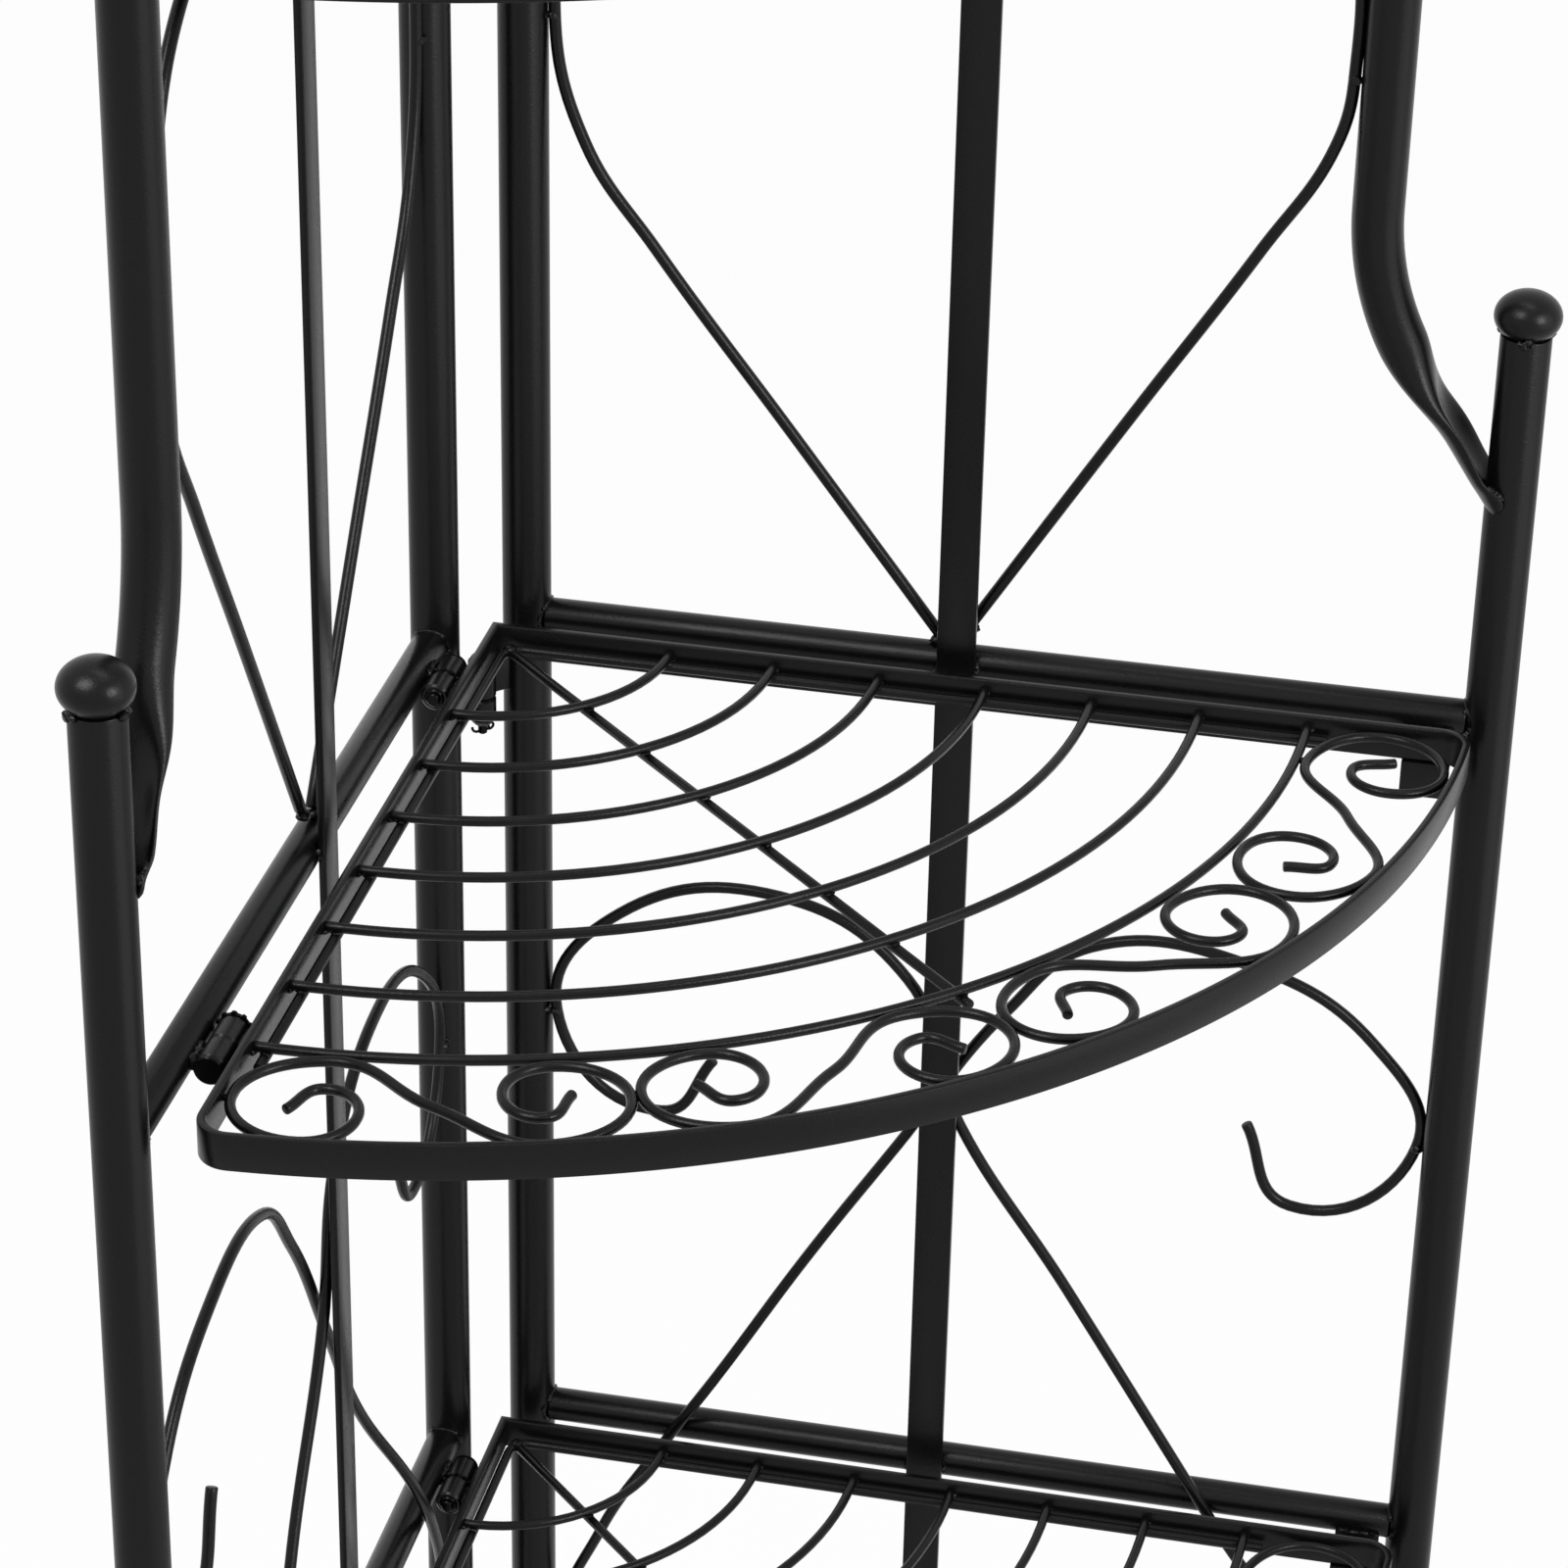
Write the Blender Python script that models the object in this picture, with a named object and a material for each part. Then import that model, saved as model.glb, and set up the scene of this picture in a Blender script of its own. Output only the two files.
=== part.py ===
"""Folding corner plant stand of black powder-coated steel.

Two tubular side panels meet at a rear corner on three upright hinges. Four quarter-round wire
shelves hang on the left panel's rails by two barrel hinges each and rest on a tab of the right
panel's rail. Lengths are metres and +Z is up. Pieces are laid out from the shelves' inner rear
corner on the floor: the right panel runs along +X there and the left panel along -Y.
"""

import math

import bmesh
import bpy
from mathutils import Matrix, Vector

for leftover in list(bpy.data.objects):
    bpy.data.objects.remove(leftover, do_unlink=True)

# Stock that the stand is made of
POST_R = 0.0095
RAIL_R = 0.007
WIRE_R = 0.0023
SHELF_WIRE_R = 0.0019
BAR_W = 0.015
BAR_T = 0.003
RIM_H = 0.0135
RIM_T = 0.003
GAP = 0.0003
WELD = 0.0003

# Each thin shelf wire is drawn square, with the round wire's area and its flats up and down
SHELF_WIRE_HALF = 0.5 * SHELF_WIRE_R * math.sqrt(math.pi)
SHELF_WIRE_EDGE = SHELF_WIRE_HALF * math.sqrt(2)

# Panels, measured along the panel from the shelves' inner rear corner
PANEL_W = 0.380
STEP_IN = 0.057
BAR_U = 0.177
REAR_IN = 0.0053
PANEL_BACK = 0.0238
UPPER_W = PANEL_W - STEP_IN

# Heights: each shelf's wires lie at its level, the rails a little below it and the rim's edge above
SHELF_1_H = 0.130
TIER_H = 0.375
LEVELS = [SHELF_1_H + TIER_H * number for number in range(4)]
MIDDLE = LEVELS[2]
RAIL_UP = -0.001
RIM_UP = 0.0042
POST_UP = 0.1565
ARCH_LOW = 0.190
ARCH_HIGH = 0.320
UPRIGHT_UP = 0.349

# Hinges: the corner's axis stands midway between the rear uprights
BARREL_R = 0.0055
BARREL_LEN = 0.013
CORNER_BARREL_LEN = 0.016
BARREL_SPLIT = 0.0004
PIN_R = 0.0025
PIN_PLAY = 0.00025
SHELF_HINGE_X = -0.010
SHELF_HINGE_DROP = 0.0008
AXIS_IN = 0.5 * (PANEL_BACK - REAR_IN)

# Facets round a tube, a barrel and a pin, and the angle that stays a sharp edge
TUBE_SIDES = 12
BEND_SIDES = 10
BARREL_SIDES = 8
WIRE_SIDES = 6
SHELF_WIRE_SIDES = 4
SHARP = math.radians(50)

UP = Vector((0, 0, 1))


# The empties that carry the pieces stand on the joints' axes
def body(name, at, carrier=None):
    empty = bpy.data.objects.new(name, None)
    empty.location = at
    empty.parent = carrier
    bpy.context.scene.collection.objects.link(empty)
    return empty


PLAN_SHIFT = 0.5 * (PANEL_W - PANEL_BACK)
left_panel = body("left_panel", (-PLAN_SHIFT, PLAN_SHIFT, 0))
right_panel = body("right_panel", (-AXIS_IN, AXIS_IN, 0), left_panel)
PANELS = {"left": left_panel, "right": right_panel}
shelves = []
for number, level in enumerate(LEVELS):
    axis_at = (SHELF_HINGE_X, 0, level - SHELF_HINGE_DROP)
    shelves.append(body("shelf_" + str(number + 1), axis_at, left_panel))


# Finishes: satin powder coat, glossier hinge pins and plastic foot caps
def finish(name, colour, roughness):
    material = bpy.data.materials.new(name)
    material.use_nodes = True
    shader = material.node_tree.nodes["Principled BSDF"]
    shader.inputs["Base Color"].default_value = (*colour, 1)
    shader.inputs["Roughness"].default_value = roughness
    shader.inputs["Metallic"].default_value = 0.0
    return material


POWDER_COAT = finish("powder_coat", (0.02, 0.02, 0.021), 0.45)
PIN_COAT = finish("hinge_pin", (0.016, 0.016, 0.017), 0.3)
FOOT_PLASTIC = finish("foot_cap", (0.02, 0.02, 0.02), 0.6)


def add_piece(name, data, at, carrier, coat=POWDER_COAT, turn=(0, 0, 0)):
    """Hangs a mesh or curve on its body; at is measured from the shelves' rear corner."""
    piece = bpy.data.objects.new(name, data)
    data.materials.append(coat)
    bpy.context.scene.collection.objects.link(piece)
    piece.parent = carrier
    origin = carrier.location if carrier.parent else Vector()
    piece.location = Vector(at) - origin
    piece.rotation_euler = turn
    return piece


def solid(name, bm):
    """The mesh of what was built, with its faces out and its round sides smooth."""
    bmesh.ops.recalc_face_normals(bm, faces=bm.faces)
    mesh = bpy.data.meshes.new(name)
    bm.to_mesh(mesh)
    bm.free()
    mesh.shade_smooth()
    mesh.set_sharp_from_angle(angle=SHARP)
    return mesh


def rod(name, radius, length, sides=TUBE_SIDES):
    """A straight round bar along Z, centred on its origin."""
    bm = bmesh.new()
    bmesh.ops.create_cone(
        bm, cap_ends=True, segments=sides, radius1=radius, radius2=radius, depth=length
    )
    return solid(name, bm)


def turned(name, profile, sides):
    """A solid spun about Z from a profile of (radius, height) that starts and ends on the axis."""
    bm = bmesh.new()
    corners = [bm.verts.new((radius, 0, height)) for radius, height in profile]
    for low, high in zip(corners, corners[1:]):
        bm.edges.new((low, high))
    bmesh.ops.spin(
        bm, geom=bm.verts[:] + bm.edges[:], cent=(0, 0, 0), axis=UP, angle=2 * math.pi, steps=sides
    )
    bmesh.ops.remove_doubles(bm, verts=bm.verts, dist=1e-6)
    return solid(name, bm)


def strap(name, start, end, up, width, thick):
    """A flat strip from start to end, width along up and thick across."""
    run = end - start
    across = run.cross(up).normalized() * thick
    frame = Matrix((run, across, up.normalized() * width)).transposed().to_4x4()
    frame.translation = 0.5 * (start + end)
    bm = bmesh.new()
    bmesh.ops.create_cube(bm, size=1.0, matrix=frame)
    return solid(name, bm)


def extruded(name, outline, along, wall=None):
    """A flat outline drawn out along a vector, as a full bar or as a ring with a wall."""
    bm = bmesh.new()
    face = bm.faces.new([bm.verts.new(corner) for corner in outline])
    if wall:
        face.normal_update()
        bmesh.ops.inset_region(
            bm, faces=[face], thickness=wall, use_even_offset=True, use_boundary=True
        )
        bmesh.ops.delete(bm, geom=[face], context="FACES_ONLY")
    drawn = bmesh.ops.extrude_face_region(bm, geom=bm.faces[:])
    moved = [item for item in drawn["geom"] if isinstance(item, bmesh.types.BMVert)]
    bmesh.ops.translate(bm, verts=moved, vec=along)
    return solid(name, bm)


def wires(name, paths, half_size, sides, bend_steps=0):
    """Wires bent smoothly through each path's knots, or straight between its points."""
    curve = bpy.data.curves.new(name, "CURVE")
    curve.dimensions = "3D"
    curve.twist_mode = "Z_UP"
    curve.bevel_depth = half_size
    curve.bevel_resolution = (sides - 4) // 2
    curve.use_fill_caps = True
    for path in paths:
        if bend_steps:
            curve.resolution_u = bend_steps
            spline = curve.splines.new("BEZIER")
            spline.bezier_points.add(len(path) - 1)
            knots = spline.bezier_points
            for knot, point in zip(knots, path):
                knot.co = point
                knot.handle_left_type = "AUTO"
                knot.handle_right_type = "AUTO"
        else:
            spline = curve.splines.new("POLY")
            spline.points.add(len(path) - 1)
            knots = spline.points
            for knot, point in zip(knots, path):
                knot.co = (*point, 1)
        for knot in knots:
            knot.tilt = math.pi / sides
    return curve


def shelf_wires(paths, bend_steps=0):
    """The closed mesh of shelf wires, which are welded together."""
    curve = wires("shelf_wires", paths, SHELF_WIRE_EDGE, SHELF_WIRE_SIDES, bend_steps)
    guide = bpy.data.objects.new("wire_guide", curve)
    bpy.context.scene.collection.objects.link(guide)
    graph = bpy.context.evaluated_depsgraph_get()
    mesh = bpy.data.meshes.new_from_object(guide.evaluated_get(graph))
    bm = bmesh.new()
    bm.from_mesh(mesh)
    bmesh.ops.remove_doubles(bm, verts=bm.verts, dist=1e-7)
    bpy.data.meshes.remove(mesh)
    bpy.data.objects.remove(guide, do_unlink=True)
    bpy.data.curves.remove(curve)
    return solid("wire_stock", bm)


def combine(base, tool, operation):
    """Welds the tool to the base, or cuts it out, and keeps one mesh."""
    change = base.modifiers.new("weld", "BOOLEAN")
    change.operation = operation
    change.solver = "EXACT"
    change.object = tool
    graph = bpy.context.evaluated_depsgraph_get()
    fused = bpy.data.meshes.new_from_object(base.evaluated_get(graph))
    base.modifiers.clear()
    base.data = fused
    bpy.data.objects.remove(tool, do_unlink=True)


def panel_point(side, u, out, z):
    """A point on a side panel: u from the corner along it, out towards the shelves."""
    if side == "left":
        return Vector((-PANEL_BACK + out, -u, z))
    return Vector((u, PANEL_BACK - out, z))


def panel_axes(side):
    """The panel's directions along itself and out towards the shelves."""
    along = panel_point(side, 1, 0, 0) - panel_point(side, 0, 0, 0)
    out = panel_point(side, 0, 1, 0) - panel_point(side, 0, 0, 0)
    return along, out


# Feet: plastic caps pushed over the ends of the four posts
FOOT_WALL = 0.0013
FOOT_FLOOR = 0.004
FOOT_H = 0.016

for side, carrier in PANELS.items():
    for where, u in (("rear", REAR_IN), ("front", PANEL_W)):
        bore = POST_R + GAP
        wall = bore + FOOT_WALL
        cup = [(0, 0), (wall, 0), (wall, FOOT_H), (bore, FOOT_H), (bore, FOOT_FLOOR), (0, FOOT_FLOOR)]
        mesh = turned("foot", cup, TUBE_SIDES)
        add_piece(side + "_" + where + "_foot", mesh, panel_point(side, u, 0, 0), carrier, FOOT_PLASTIC)


# Rear uprights and lower front posts: straight tube that stands in the foot caps
POST_FOOT = FOOT_FLOOR + GAP
POST_TOP = MIDDLE + POST_UP
UPRIGHT_TOP = LEVELS[3] + UPRIGHT_UP

for side, carrier in PANELS.items():
    for name, u, top in (("rear_upright", REAR_IN, UPRIGHT_TOP), ("front_post", PANEL_W, POST_TOP)):
        mesh = rod(name, POST_R, top - POST_FOOT)
        add_piece(side + "_" + name, mesh, panel_point(side, u, 0, 0.5 * (top + POST_FOOT)), carrier)


# Ball finials: flattened balls that sit on the ends of the tubes
BALL_R = 0.0125
BALL_HALF_H = 0.0092
NECK_R = 0.0075
NECK_H = 0.0006
BALL_RINGS = 6

for side, carrier in PANELS.items():
    for name, u, top in (("post_finial", PANEL_W, POST_TOP), ("upright_finial", REAR_IN, UPRIGHT_TOP)):
        seat_turn = math.asin(NECK_R / BALL_R)
        centre_h = NECK_H + BALL_HALF_H * math.cos(seat_turn)
        profile = [(0, GAP), (NECK_R, GAP)]
        for step in range(BALL_RINGS + 1):
            turn = seat_turn + (math.pi - seat_turn) * step / BALL_RINGS
            profile.append((BALL_R * math.sin(turn), centre_h - BALL_HALF_H * math.cos(turn)))
        profile[-1] = (0, centre_h + BALL_HALF_H)
        add_piece(side + "_" + name, turned(name, profile, TUBE_SIDES), panel_point(side, u, 0, top), carrier)


# Upper tubes: they arch over from the rear upright, bend out to the front post, and end in a foot
# that is pressed flat, cupped round the post and turned down along it
BEND_HIGH = 0.200
BEND_R = 0.110
BEND_TURN = math.radians(34)
FOOT_BEND_R = 0.020
FOOT_TAIL = 0.0065
FLAT_HIGH = 0.128
FLAT_LOW = 0.100
FLAT_HALF_T = 0.0036
FLAT_SPREAD = 0.003
ARCH_STEPS = 6
BEND_STEPS = 4
FOOT_STEPS = 3
ARCH_U = REAR_IN + POST_R + GAP
END_U = PANEL_W - POST_R - GAP - FLAT_HALF_T


def upper_tube(side):
    """The tube from ring to ring, each at (u, z) on the panel and flattened by its height."""
    rings = []
    for step in range(ARCH_STEPS + 1):
        turn = 0.5 * math.pi * step / ARCH_STEPS
        u = ARCH_U + (UPPER_W - ARCH_U) * math.sin(turn)
        rings.append((u, LEVELS[3] + ARCH_LOW + (ARCH_HIGH - ARCH_LOW) * math.cos(turn)))
    for step in range(BEND_STEPS + 1):
        turn = BEND_TURN * step / BEND_STEPS
        u = UPPER_W + BEND_R * (1 - math.cos(turn))
        rings.append((u, MIDDLE + BEND_HIGH - BEND_R * math.sin(turn)))
    slope_u, slope_z = rings[-1]
    foot_u = END_U - FOOT_BEND_R * (1 - math.cos(BEND_TURN))
    foot_z = slope_z - (foot_u - slope_u) / math.tan(BEND_TURN)
    rings.append((0.5 * (slope_u + foot_u), 0.5 * (slope_z + foot_z)))
    for step in range(FOOT_STEPS + 1):
        turn = BEND_TURN * (1 - step / FOOT_STEPS)
        u = END_U - FOOT_BEND_R * (1 - math.cos(turn))
        rings.append((u, foot_z - FOOT_BEND_R * (math.sin(BEND_TURN) - math.sin(turn))))
    rings.append((END_U, rings[-1][1] - FOOT_TAIL))

    along, out = panel_axes(side)
    start = panel_point(side, 0, 0, 0)
    places = [start + along * u + UP * z for u, z in rings]
    ends = {0: along, len(rings) - 1: -UP}
    bm = bmesh.new()
    loops = []
    for index, (u, z) in enumerate(rings):
        flat = min(1, max(0, (MIDDLE + FLAT_HIGH - z) / (FLAT_HIGH - FLAT_LOW)))
        run = ends[index] if index in ends else places[index + 1] - places[index - 1]
        deep = run.cross(out).normalized() * (POST_R + (FLAT_HALF_T - POST_R) * flat)
        wide = out * (POST_R + FLAT_SPREAD * flat)
        frame = Matrix((wide, deep, run.normalized())).transposed().to_4x4()
        frame.translation = places[index]
        made = bmesh.ops.create_circle(bm, segments=BEND_SIDES, radius=1.0, matrix=frame)
        for vert in made["verts"]:
            off = (vert.co - places[index]).dot(out)
            vert.co += along * flat * off ** 2 / (2 * (POST_R + FLAT_HALF_T))
        loops.append(made["verts"])
    for low, high in zip(loops, loops[1:]):
        for k in range(BEND_SIDES):
            n = (k + 1) % BEND_SIDES
            bm.faces.new((low[k], low[n], high[n], high[k]))
    bm.faces.new(loops[0])
    bm.faces.new(loops[-1])
    return solid("upper_tube", bm)


for side, carrier in PANELS.items():
    add_piece(side + "_upper_tube", upper_tube(side), (0, 0, 0), carrier)


# Rails: thinner tube across each panel at every shelf
for side, carrier in PANELS.items():
    for number, level in enumerate(LEVELS):
        near = REAR_IN + POST_R + GAP
        far = (UPPER_W if number == 3 else PANEL_W) - POST_R - GAP
        name = side + "_rail_" + str(number + 1)
        turn = (0.5 * math.pi, 0, 0) if side == "left" else (0, 0.5 * math.pi, 0)
        middle = panel_point(side, 0.5 * (near + far), 0, level + RAIL_UP)
        add_piece(name, rod(name, RAIL_R, far - near), middle, carrier, POWDER_COAT, turn)


# Flat bars: they stand in front of the rails, from below the lowest rail to the arch
BAR_BELOW = 0.0115
BAR_OUT = RAIL_R + GAP + 0.5 * BAR_T

for side, carrier in PANELS.items():
    arch_part = (BAR_U + 0.5 * BAR_W - ARCH_U) / (UPPER_W - ARCH_U)
    arch_z = LEVELS[3] + ARCH_LOW + (ARCH_HIGH - ARCH_LOW) * math.sqrt(1 - arch_part ** 2)
    low = panel_point(side, BAR_U, BAR_OUT, LEVELS[0] - BAR_BELOW)
    tall = arch_z - POST_R - low.z
    along, out = panel_axes(side)
    add_piece(side + "_flat_bar", strap("flat_bar", Vector(), UP * tall, along, BAR_W, BAR_T), low, carrier)


# Hearts: bent wire in pairs on each side of the flat bar, welded to the upright and the upper tube
# A half runs from its foot at the bar; a knot is (part of the half width, part of the height)
# The hearts end under the rail above; in the top tier the wires end in curls
HEART_REAR = [(0.975, 0.005), (0.60, 0.216), (0.249, 0.413), (0.075, 0.522), (0.0, 0.660), (0.075, 0.845)]
HEART_FRONT = [(1.0, 0.022), (0.548, 0.288), (0.223, 0.477), (0.038, 0.594), (0.0, 0.667), (0.061, 0.845)]
HEART_CROWN = [(0.30, 0.948), (0.62, 0.985), (0.945, 0.975)]
TOP_CURL = [(0.35, 0.967), (0.68, 0.832), (0.535, 0.686), (0.428, 0.795)]
HEART_BEND_STEPS = 2
HEART_FOOT = 0.0022
TOP_HEART_OVER = 0.040
TOP_HEART_H = ARCH_LOW + TOP_HEART_OVER

REAR_TOUCH = REAR_IN + POST_R + GAP + WIRE_R
FRONT_TOUCH = PANEL_W - POST_R - GAP - WIRE_R
UPPER_TOUCH = UPPER_W - POST_R - GAP - WIRE_R

for side, carrier in PANELS.items():
    for label, level, high, ending in (
        ("heart", LEVELS[2], LEVELS[3] + RAIL_UP - RAIL_R, HEART_CROWN),
        ("top_scroll", LEVELS[3], LEVELS[3] + TOP_HEART_H, TOP_CURL),
    ):
        low = level + RAIL_UP + RAIL_R + WIRE_R
        foot = panel_point(side, BAR_U, 0, low)
        for end, touch, away, knots in (
            ("_rear", REAR_TOUCH, -1, HEART_REAR),
            ("_front", UPPER_TOUCH, 1, HEART_FRONT),
        ):
            path = []
            for across, rise in knots + ending:
                u = touch + (BAR_U + away * (WIRE_R + HEART_FOOT) - touch) * across
                path.append(panel_point(side, u, 0, low + (high - low) * rise) - foot)
            curve = wires(label, [path], WIRE_R, WIRE_SIDES, HEART_BEND_STEPS)
            add_piece(side + "_" + label + end, curve, foot, carrier)


# Crossing wires: a scroll under the middle rail, a crossing behind the flat bar, a straight leg
# in front of the second rail and a curl at its foot
# A knot is (part of the panel's clear width, tiers below the middle level, steps of CROSS_OUT out)
CROSS_REAR = [
    (0.187, 0.515, 1), (0.125, 0.588, 1), (0.0, 0.475, 1), (0.075, 0.346, 1), (0.262, 0.302, 1),
    (0.412, 0.384, 1), (0.470, 0.541, 1), (0.612, 0.749, 1), (0.752, 0.943, 3.5), (0.816, 1.038, 3.6),
    (0.930, 1.212, 1), (1.0, 1.420, 1), (0.935, 1.579, 1), (0.775, 1.640, 1), (0.645, 1.535, 1),
    (0.730, 1.435, 1), (0.790, 1.515, 1),
]
CROSS_FRONT = [
    (0.806, 0.518, -1), (0.862, 0.614, -1), (1.0, 0.520, -1), (0.942, 0.401, -1), (0.792, 0.323, -1),
    (0.618, 0.325, -1), (0.525, 0.416, -1), (0.405, 0.600, -1), (0.300, 0.762, -1), (0.200, 0.918, 3.2),
    (0.132, 1.024, 3.7), (0.055, 1.160, 2), (0.0, 1.335, -1), (0.060, 1.484, -1), (0.222, 1.549, -1),
    (0.355, 1.444, -1), (0.270, 1.344, -1), (0.210, 1.424, -1),
]
CROSS_BEND_STEPS = 2
CROSS_OUT = WIRE_R + GAP

for side, carrier in PANELS.items():
    middle = panel_point(side, BAR_U, 0, MIDDLE)
    for end, knots in (("rear", CROSS_REAR), ("front", CROSS_FRONT)):
        path = []
        for across, drop, out in knots:
            u = REAR_TOUCH + (FRONT_TOUCH - REAR_TOUCH) * across
            path.append(panel_point(side, u, out * CROSS_OUT, MIDDLE - TIER_H * drop) - middle)
        curve = wires("cross_wire", [path], WIRE_R, WIRE_SIDES, CROSS_BEND_STEPS)
        add_piece(side + "_cross_wire_" + end, curve, middle, carrier)


# Hinge pins: a head, a shank through both barrels and a clip
PIN_HEAD_R = 0.0045
PIN_HEAD_H = 0.0022
CLIP_T = 0.0012
BORE_PAST = 0.002
WEB_T = 0.004
WEB_IN = 0.001


def hinge_pin(length):
    """A pin that hangs along -Z from the top of barrels of the given length."""
    foot = -length - GAP
    profile = [
        (0, GAP + PIN_HEAD_H), (PIN_HEAD_R, GAP + PIN_HEAD_H), (PIN_HEAD_R, GAP), (PIN_R, GAP),
        (PIN_R, foot), (PIN_HEAD_R, foot), (PIN_HEAD_R, foot - CLIP_T), (0, foot - CLIP_T),
    ]
    return turned("hinge_pin", profile, BARREL_SIDES)


def add_barrel(owner, carrier, centre, turn, length, root, width_axis):
    """Welds a bored barrel to the owner by a web that runs from its centre to root."""
    barrel = rod("barrel", BARREL_R, length, BARREL_SIDES)
    combine(owner, add_piece("barrel_stock", barrel, centre, carrier, turn=turn), "UNION")
    web = strap("web", Vector(), root - centre, width_axis, length - 2 * WEB_IN, WEB_T)
    combine(owner, add_piece("web_stock", web, centre, carrier), "UNION")
    bore = rod("bore", PIN_R + PIN_PLAY, length + 2 * BORE_PAST, BARREL_SIDES)
    combine(owner, add_piece("bore_stock", bore, centre, carrier, turn=turn), "DIFFERENCE")


# Corner hinges: the right upright's barrel sits above the left one's, at three heights
CORNER_BELOW = 0.016
CORNER_TOP_UP = 0.2625
CORNER_TOPS = [LEVELS[0] - CORNER_BELOW, MIDDLE - CORNER_BELOW, LEVELS[3] + CORNER_TOP_UP]

for number, top in enumerate(CORNER_TOPS):
    for side, place in (("right", 0.5), ("left", 1.5)):
        centre = Vector((-AXIS_IN, AXIS_IN, top - place * CORNER_BARREL_LEN - (place - 0.5) * BARREL_SPLIT))
        upright = bpy.data.objects[side + "_rear_upright"]
        root = panel_point(side, REAR_IN, 0, centre.z)
        add_barrel(upright, PANELS[side], centre, (0, 0, 0), CORNER_BARREL_LEN, root, UP)
    pin = hinge_pin(2 * CORNER_BARREL_LEN + BARREL_SPLIT)
    add_piece("corner_pin_" + str(number + 1), pin, (-AXIS_IN, AXIS_IN, top), left_panel, PIN_COAT)


# Shelf rims: flat bar on edge, square at the rear corner and bowed between two rounded corners
SHELF_IN = 0.010
FRONT_BOW = 0.015
CORNER_FILLET = 0.012
FILLET_STEPS = 5
BOW_STEPS = 18


def rim_outline(reach):
    """The rim's outer outline from the rear corner round by the left side."""
    bow_r = reach + FRONT_BOW * math.sqrt(2)
    edge = -RIM_T
    centre_x = edge + CORNER_FILLET
    centre_y = FRONT_BOW - math.sqrt((bow_r - CORNER_FILLET) ** 2 - (centre_x + FRONT_BOW) ** 2)
    bow_from = math.atan2(centre_y - FRONT_BOW, centre_x + FRONT_BOW)
    half = [(edge, -edge), (edge, centre_y)]
    for step in range(1, FILLET_STEPS):
        turn = -math.pi + (bow_from + math.pi) * step / FILLET_STEPS
        half.append((centre_x + CORNER_FILLET * math.cos(turn), centre_y + CORNER_FILLET * math.sin(turn)))
    bow = []
    bow_turn = -0.5 * math.pi - 2 * bow_from
    for step in range(BOW_STEPS + 1):
        turn = bow_from + bow_turn * step / BOW_STEPS
        bow.append((-FRONT_BOW + bow_r * math.cos(turn), FRONT_BOW + bow_r * math.sin(turn)))
    return half + bow + [(-y, -x) for x, y in reversed(half[1:])]


def bow_reach(reach, angle):
    """Distance from the rear corner to the rim's outer face at an angle below the right side."""
    both = FRONT_BOW * (math.cos(angle) + math.sin(angle))
    bow_r = reach + FRONT_BOW * math.sqrt(2)
    return -both + math.sqrt(both ** 2 + bow_r ** 2 - 2 * FRONT_BOW ** 2)


# Shelf grids: arc wires welded on a bent support wire and a diagonal
BAND_W = 0.056
ARC_STEP = 0.041
LEAST_ARC = 0.045
ARC_CHORD = 0.055
ARC_LEAST_STEPS = 3
ARC_HOLD = 0.0007
SUPPORT_IN = 0.004
SUPPORT_BEND = 0.008
SUPPORT_PAST = 0.008
DIAGONAL_PAST = 0.005
SUPPORT_STEPS = 3


def shelf_grid(last_arc):
    """The arcs from the outermost in, the support wire and the diagonal, from the rear corner."""
    arcs = []
    for number in range(int((last_arc - LEAST_ARC) // ARC_STEP) + 1):
        radius = last_arc - ARC_STEP * number
        hold = math.asin(ARC_HOLD / radius)
        steps = ARC_LEAST_STEPS + int(radius / ARC_CHORD)
        angles = [hold + (0.5 * math.pi - 2 * hold) * step / steps for step in range(steps + 1)]
        arcs.append([(radius * math.cos(angle), -radius * math.sin(angle), 0) for angle in angles])
    under = WELD - 2 * SHELF_WIRE_HALF
    bend_at = SUPPORT_IN + SUPPORT_BEND
    support = [(SUPPORT_IN, -last_arc - SUPPORT_PAST, under)]
    for step in range(SUPPORT_STEPS + 1):
        turn = math.pi - 0.5 * math.pi * step / SUPPORT_STEPS
        x = bend_at + SUPPORT_BEND * math.cos(turn)
        support.append((x, -bend_at + SUPPORT_BEND * math.sin(turn), under))
    support.append((last_arc + SUPPORT_PAST, -SUPPORT_IN, under))
    near = bend_at - SUPPORT_BEND * math.sqrt(0.5)
    far = (last_arc + DIAGONAL_PAST) * math.sqrt(0.5)
    return arcs, support, [(near, -near, under), (far, -far, under)]


# Scroll bands: S-scrolls between the last arc and the rim, each turned over from the one before
# Half a scroll from its inner end; a knot is (part of the scroll's length, part of the band's width)
SCROLL = [
    (0.145, 0.62), (0.222, 0.34), (0.325, 0.62), (0.205, 0.985), (0.0, 0.53), (0.205, 0.005), (0.5, 0.5),
]
SCROLL_COUNT = 4
SCROLL_BEND_STEPS = 2
BAND_CLEAR = 0.0005


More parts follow.
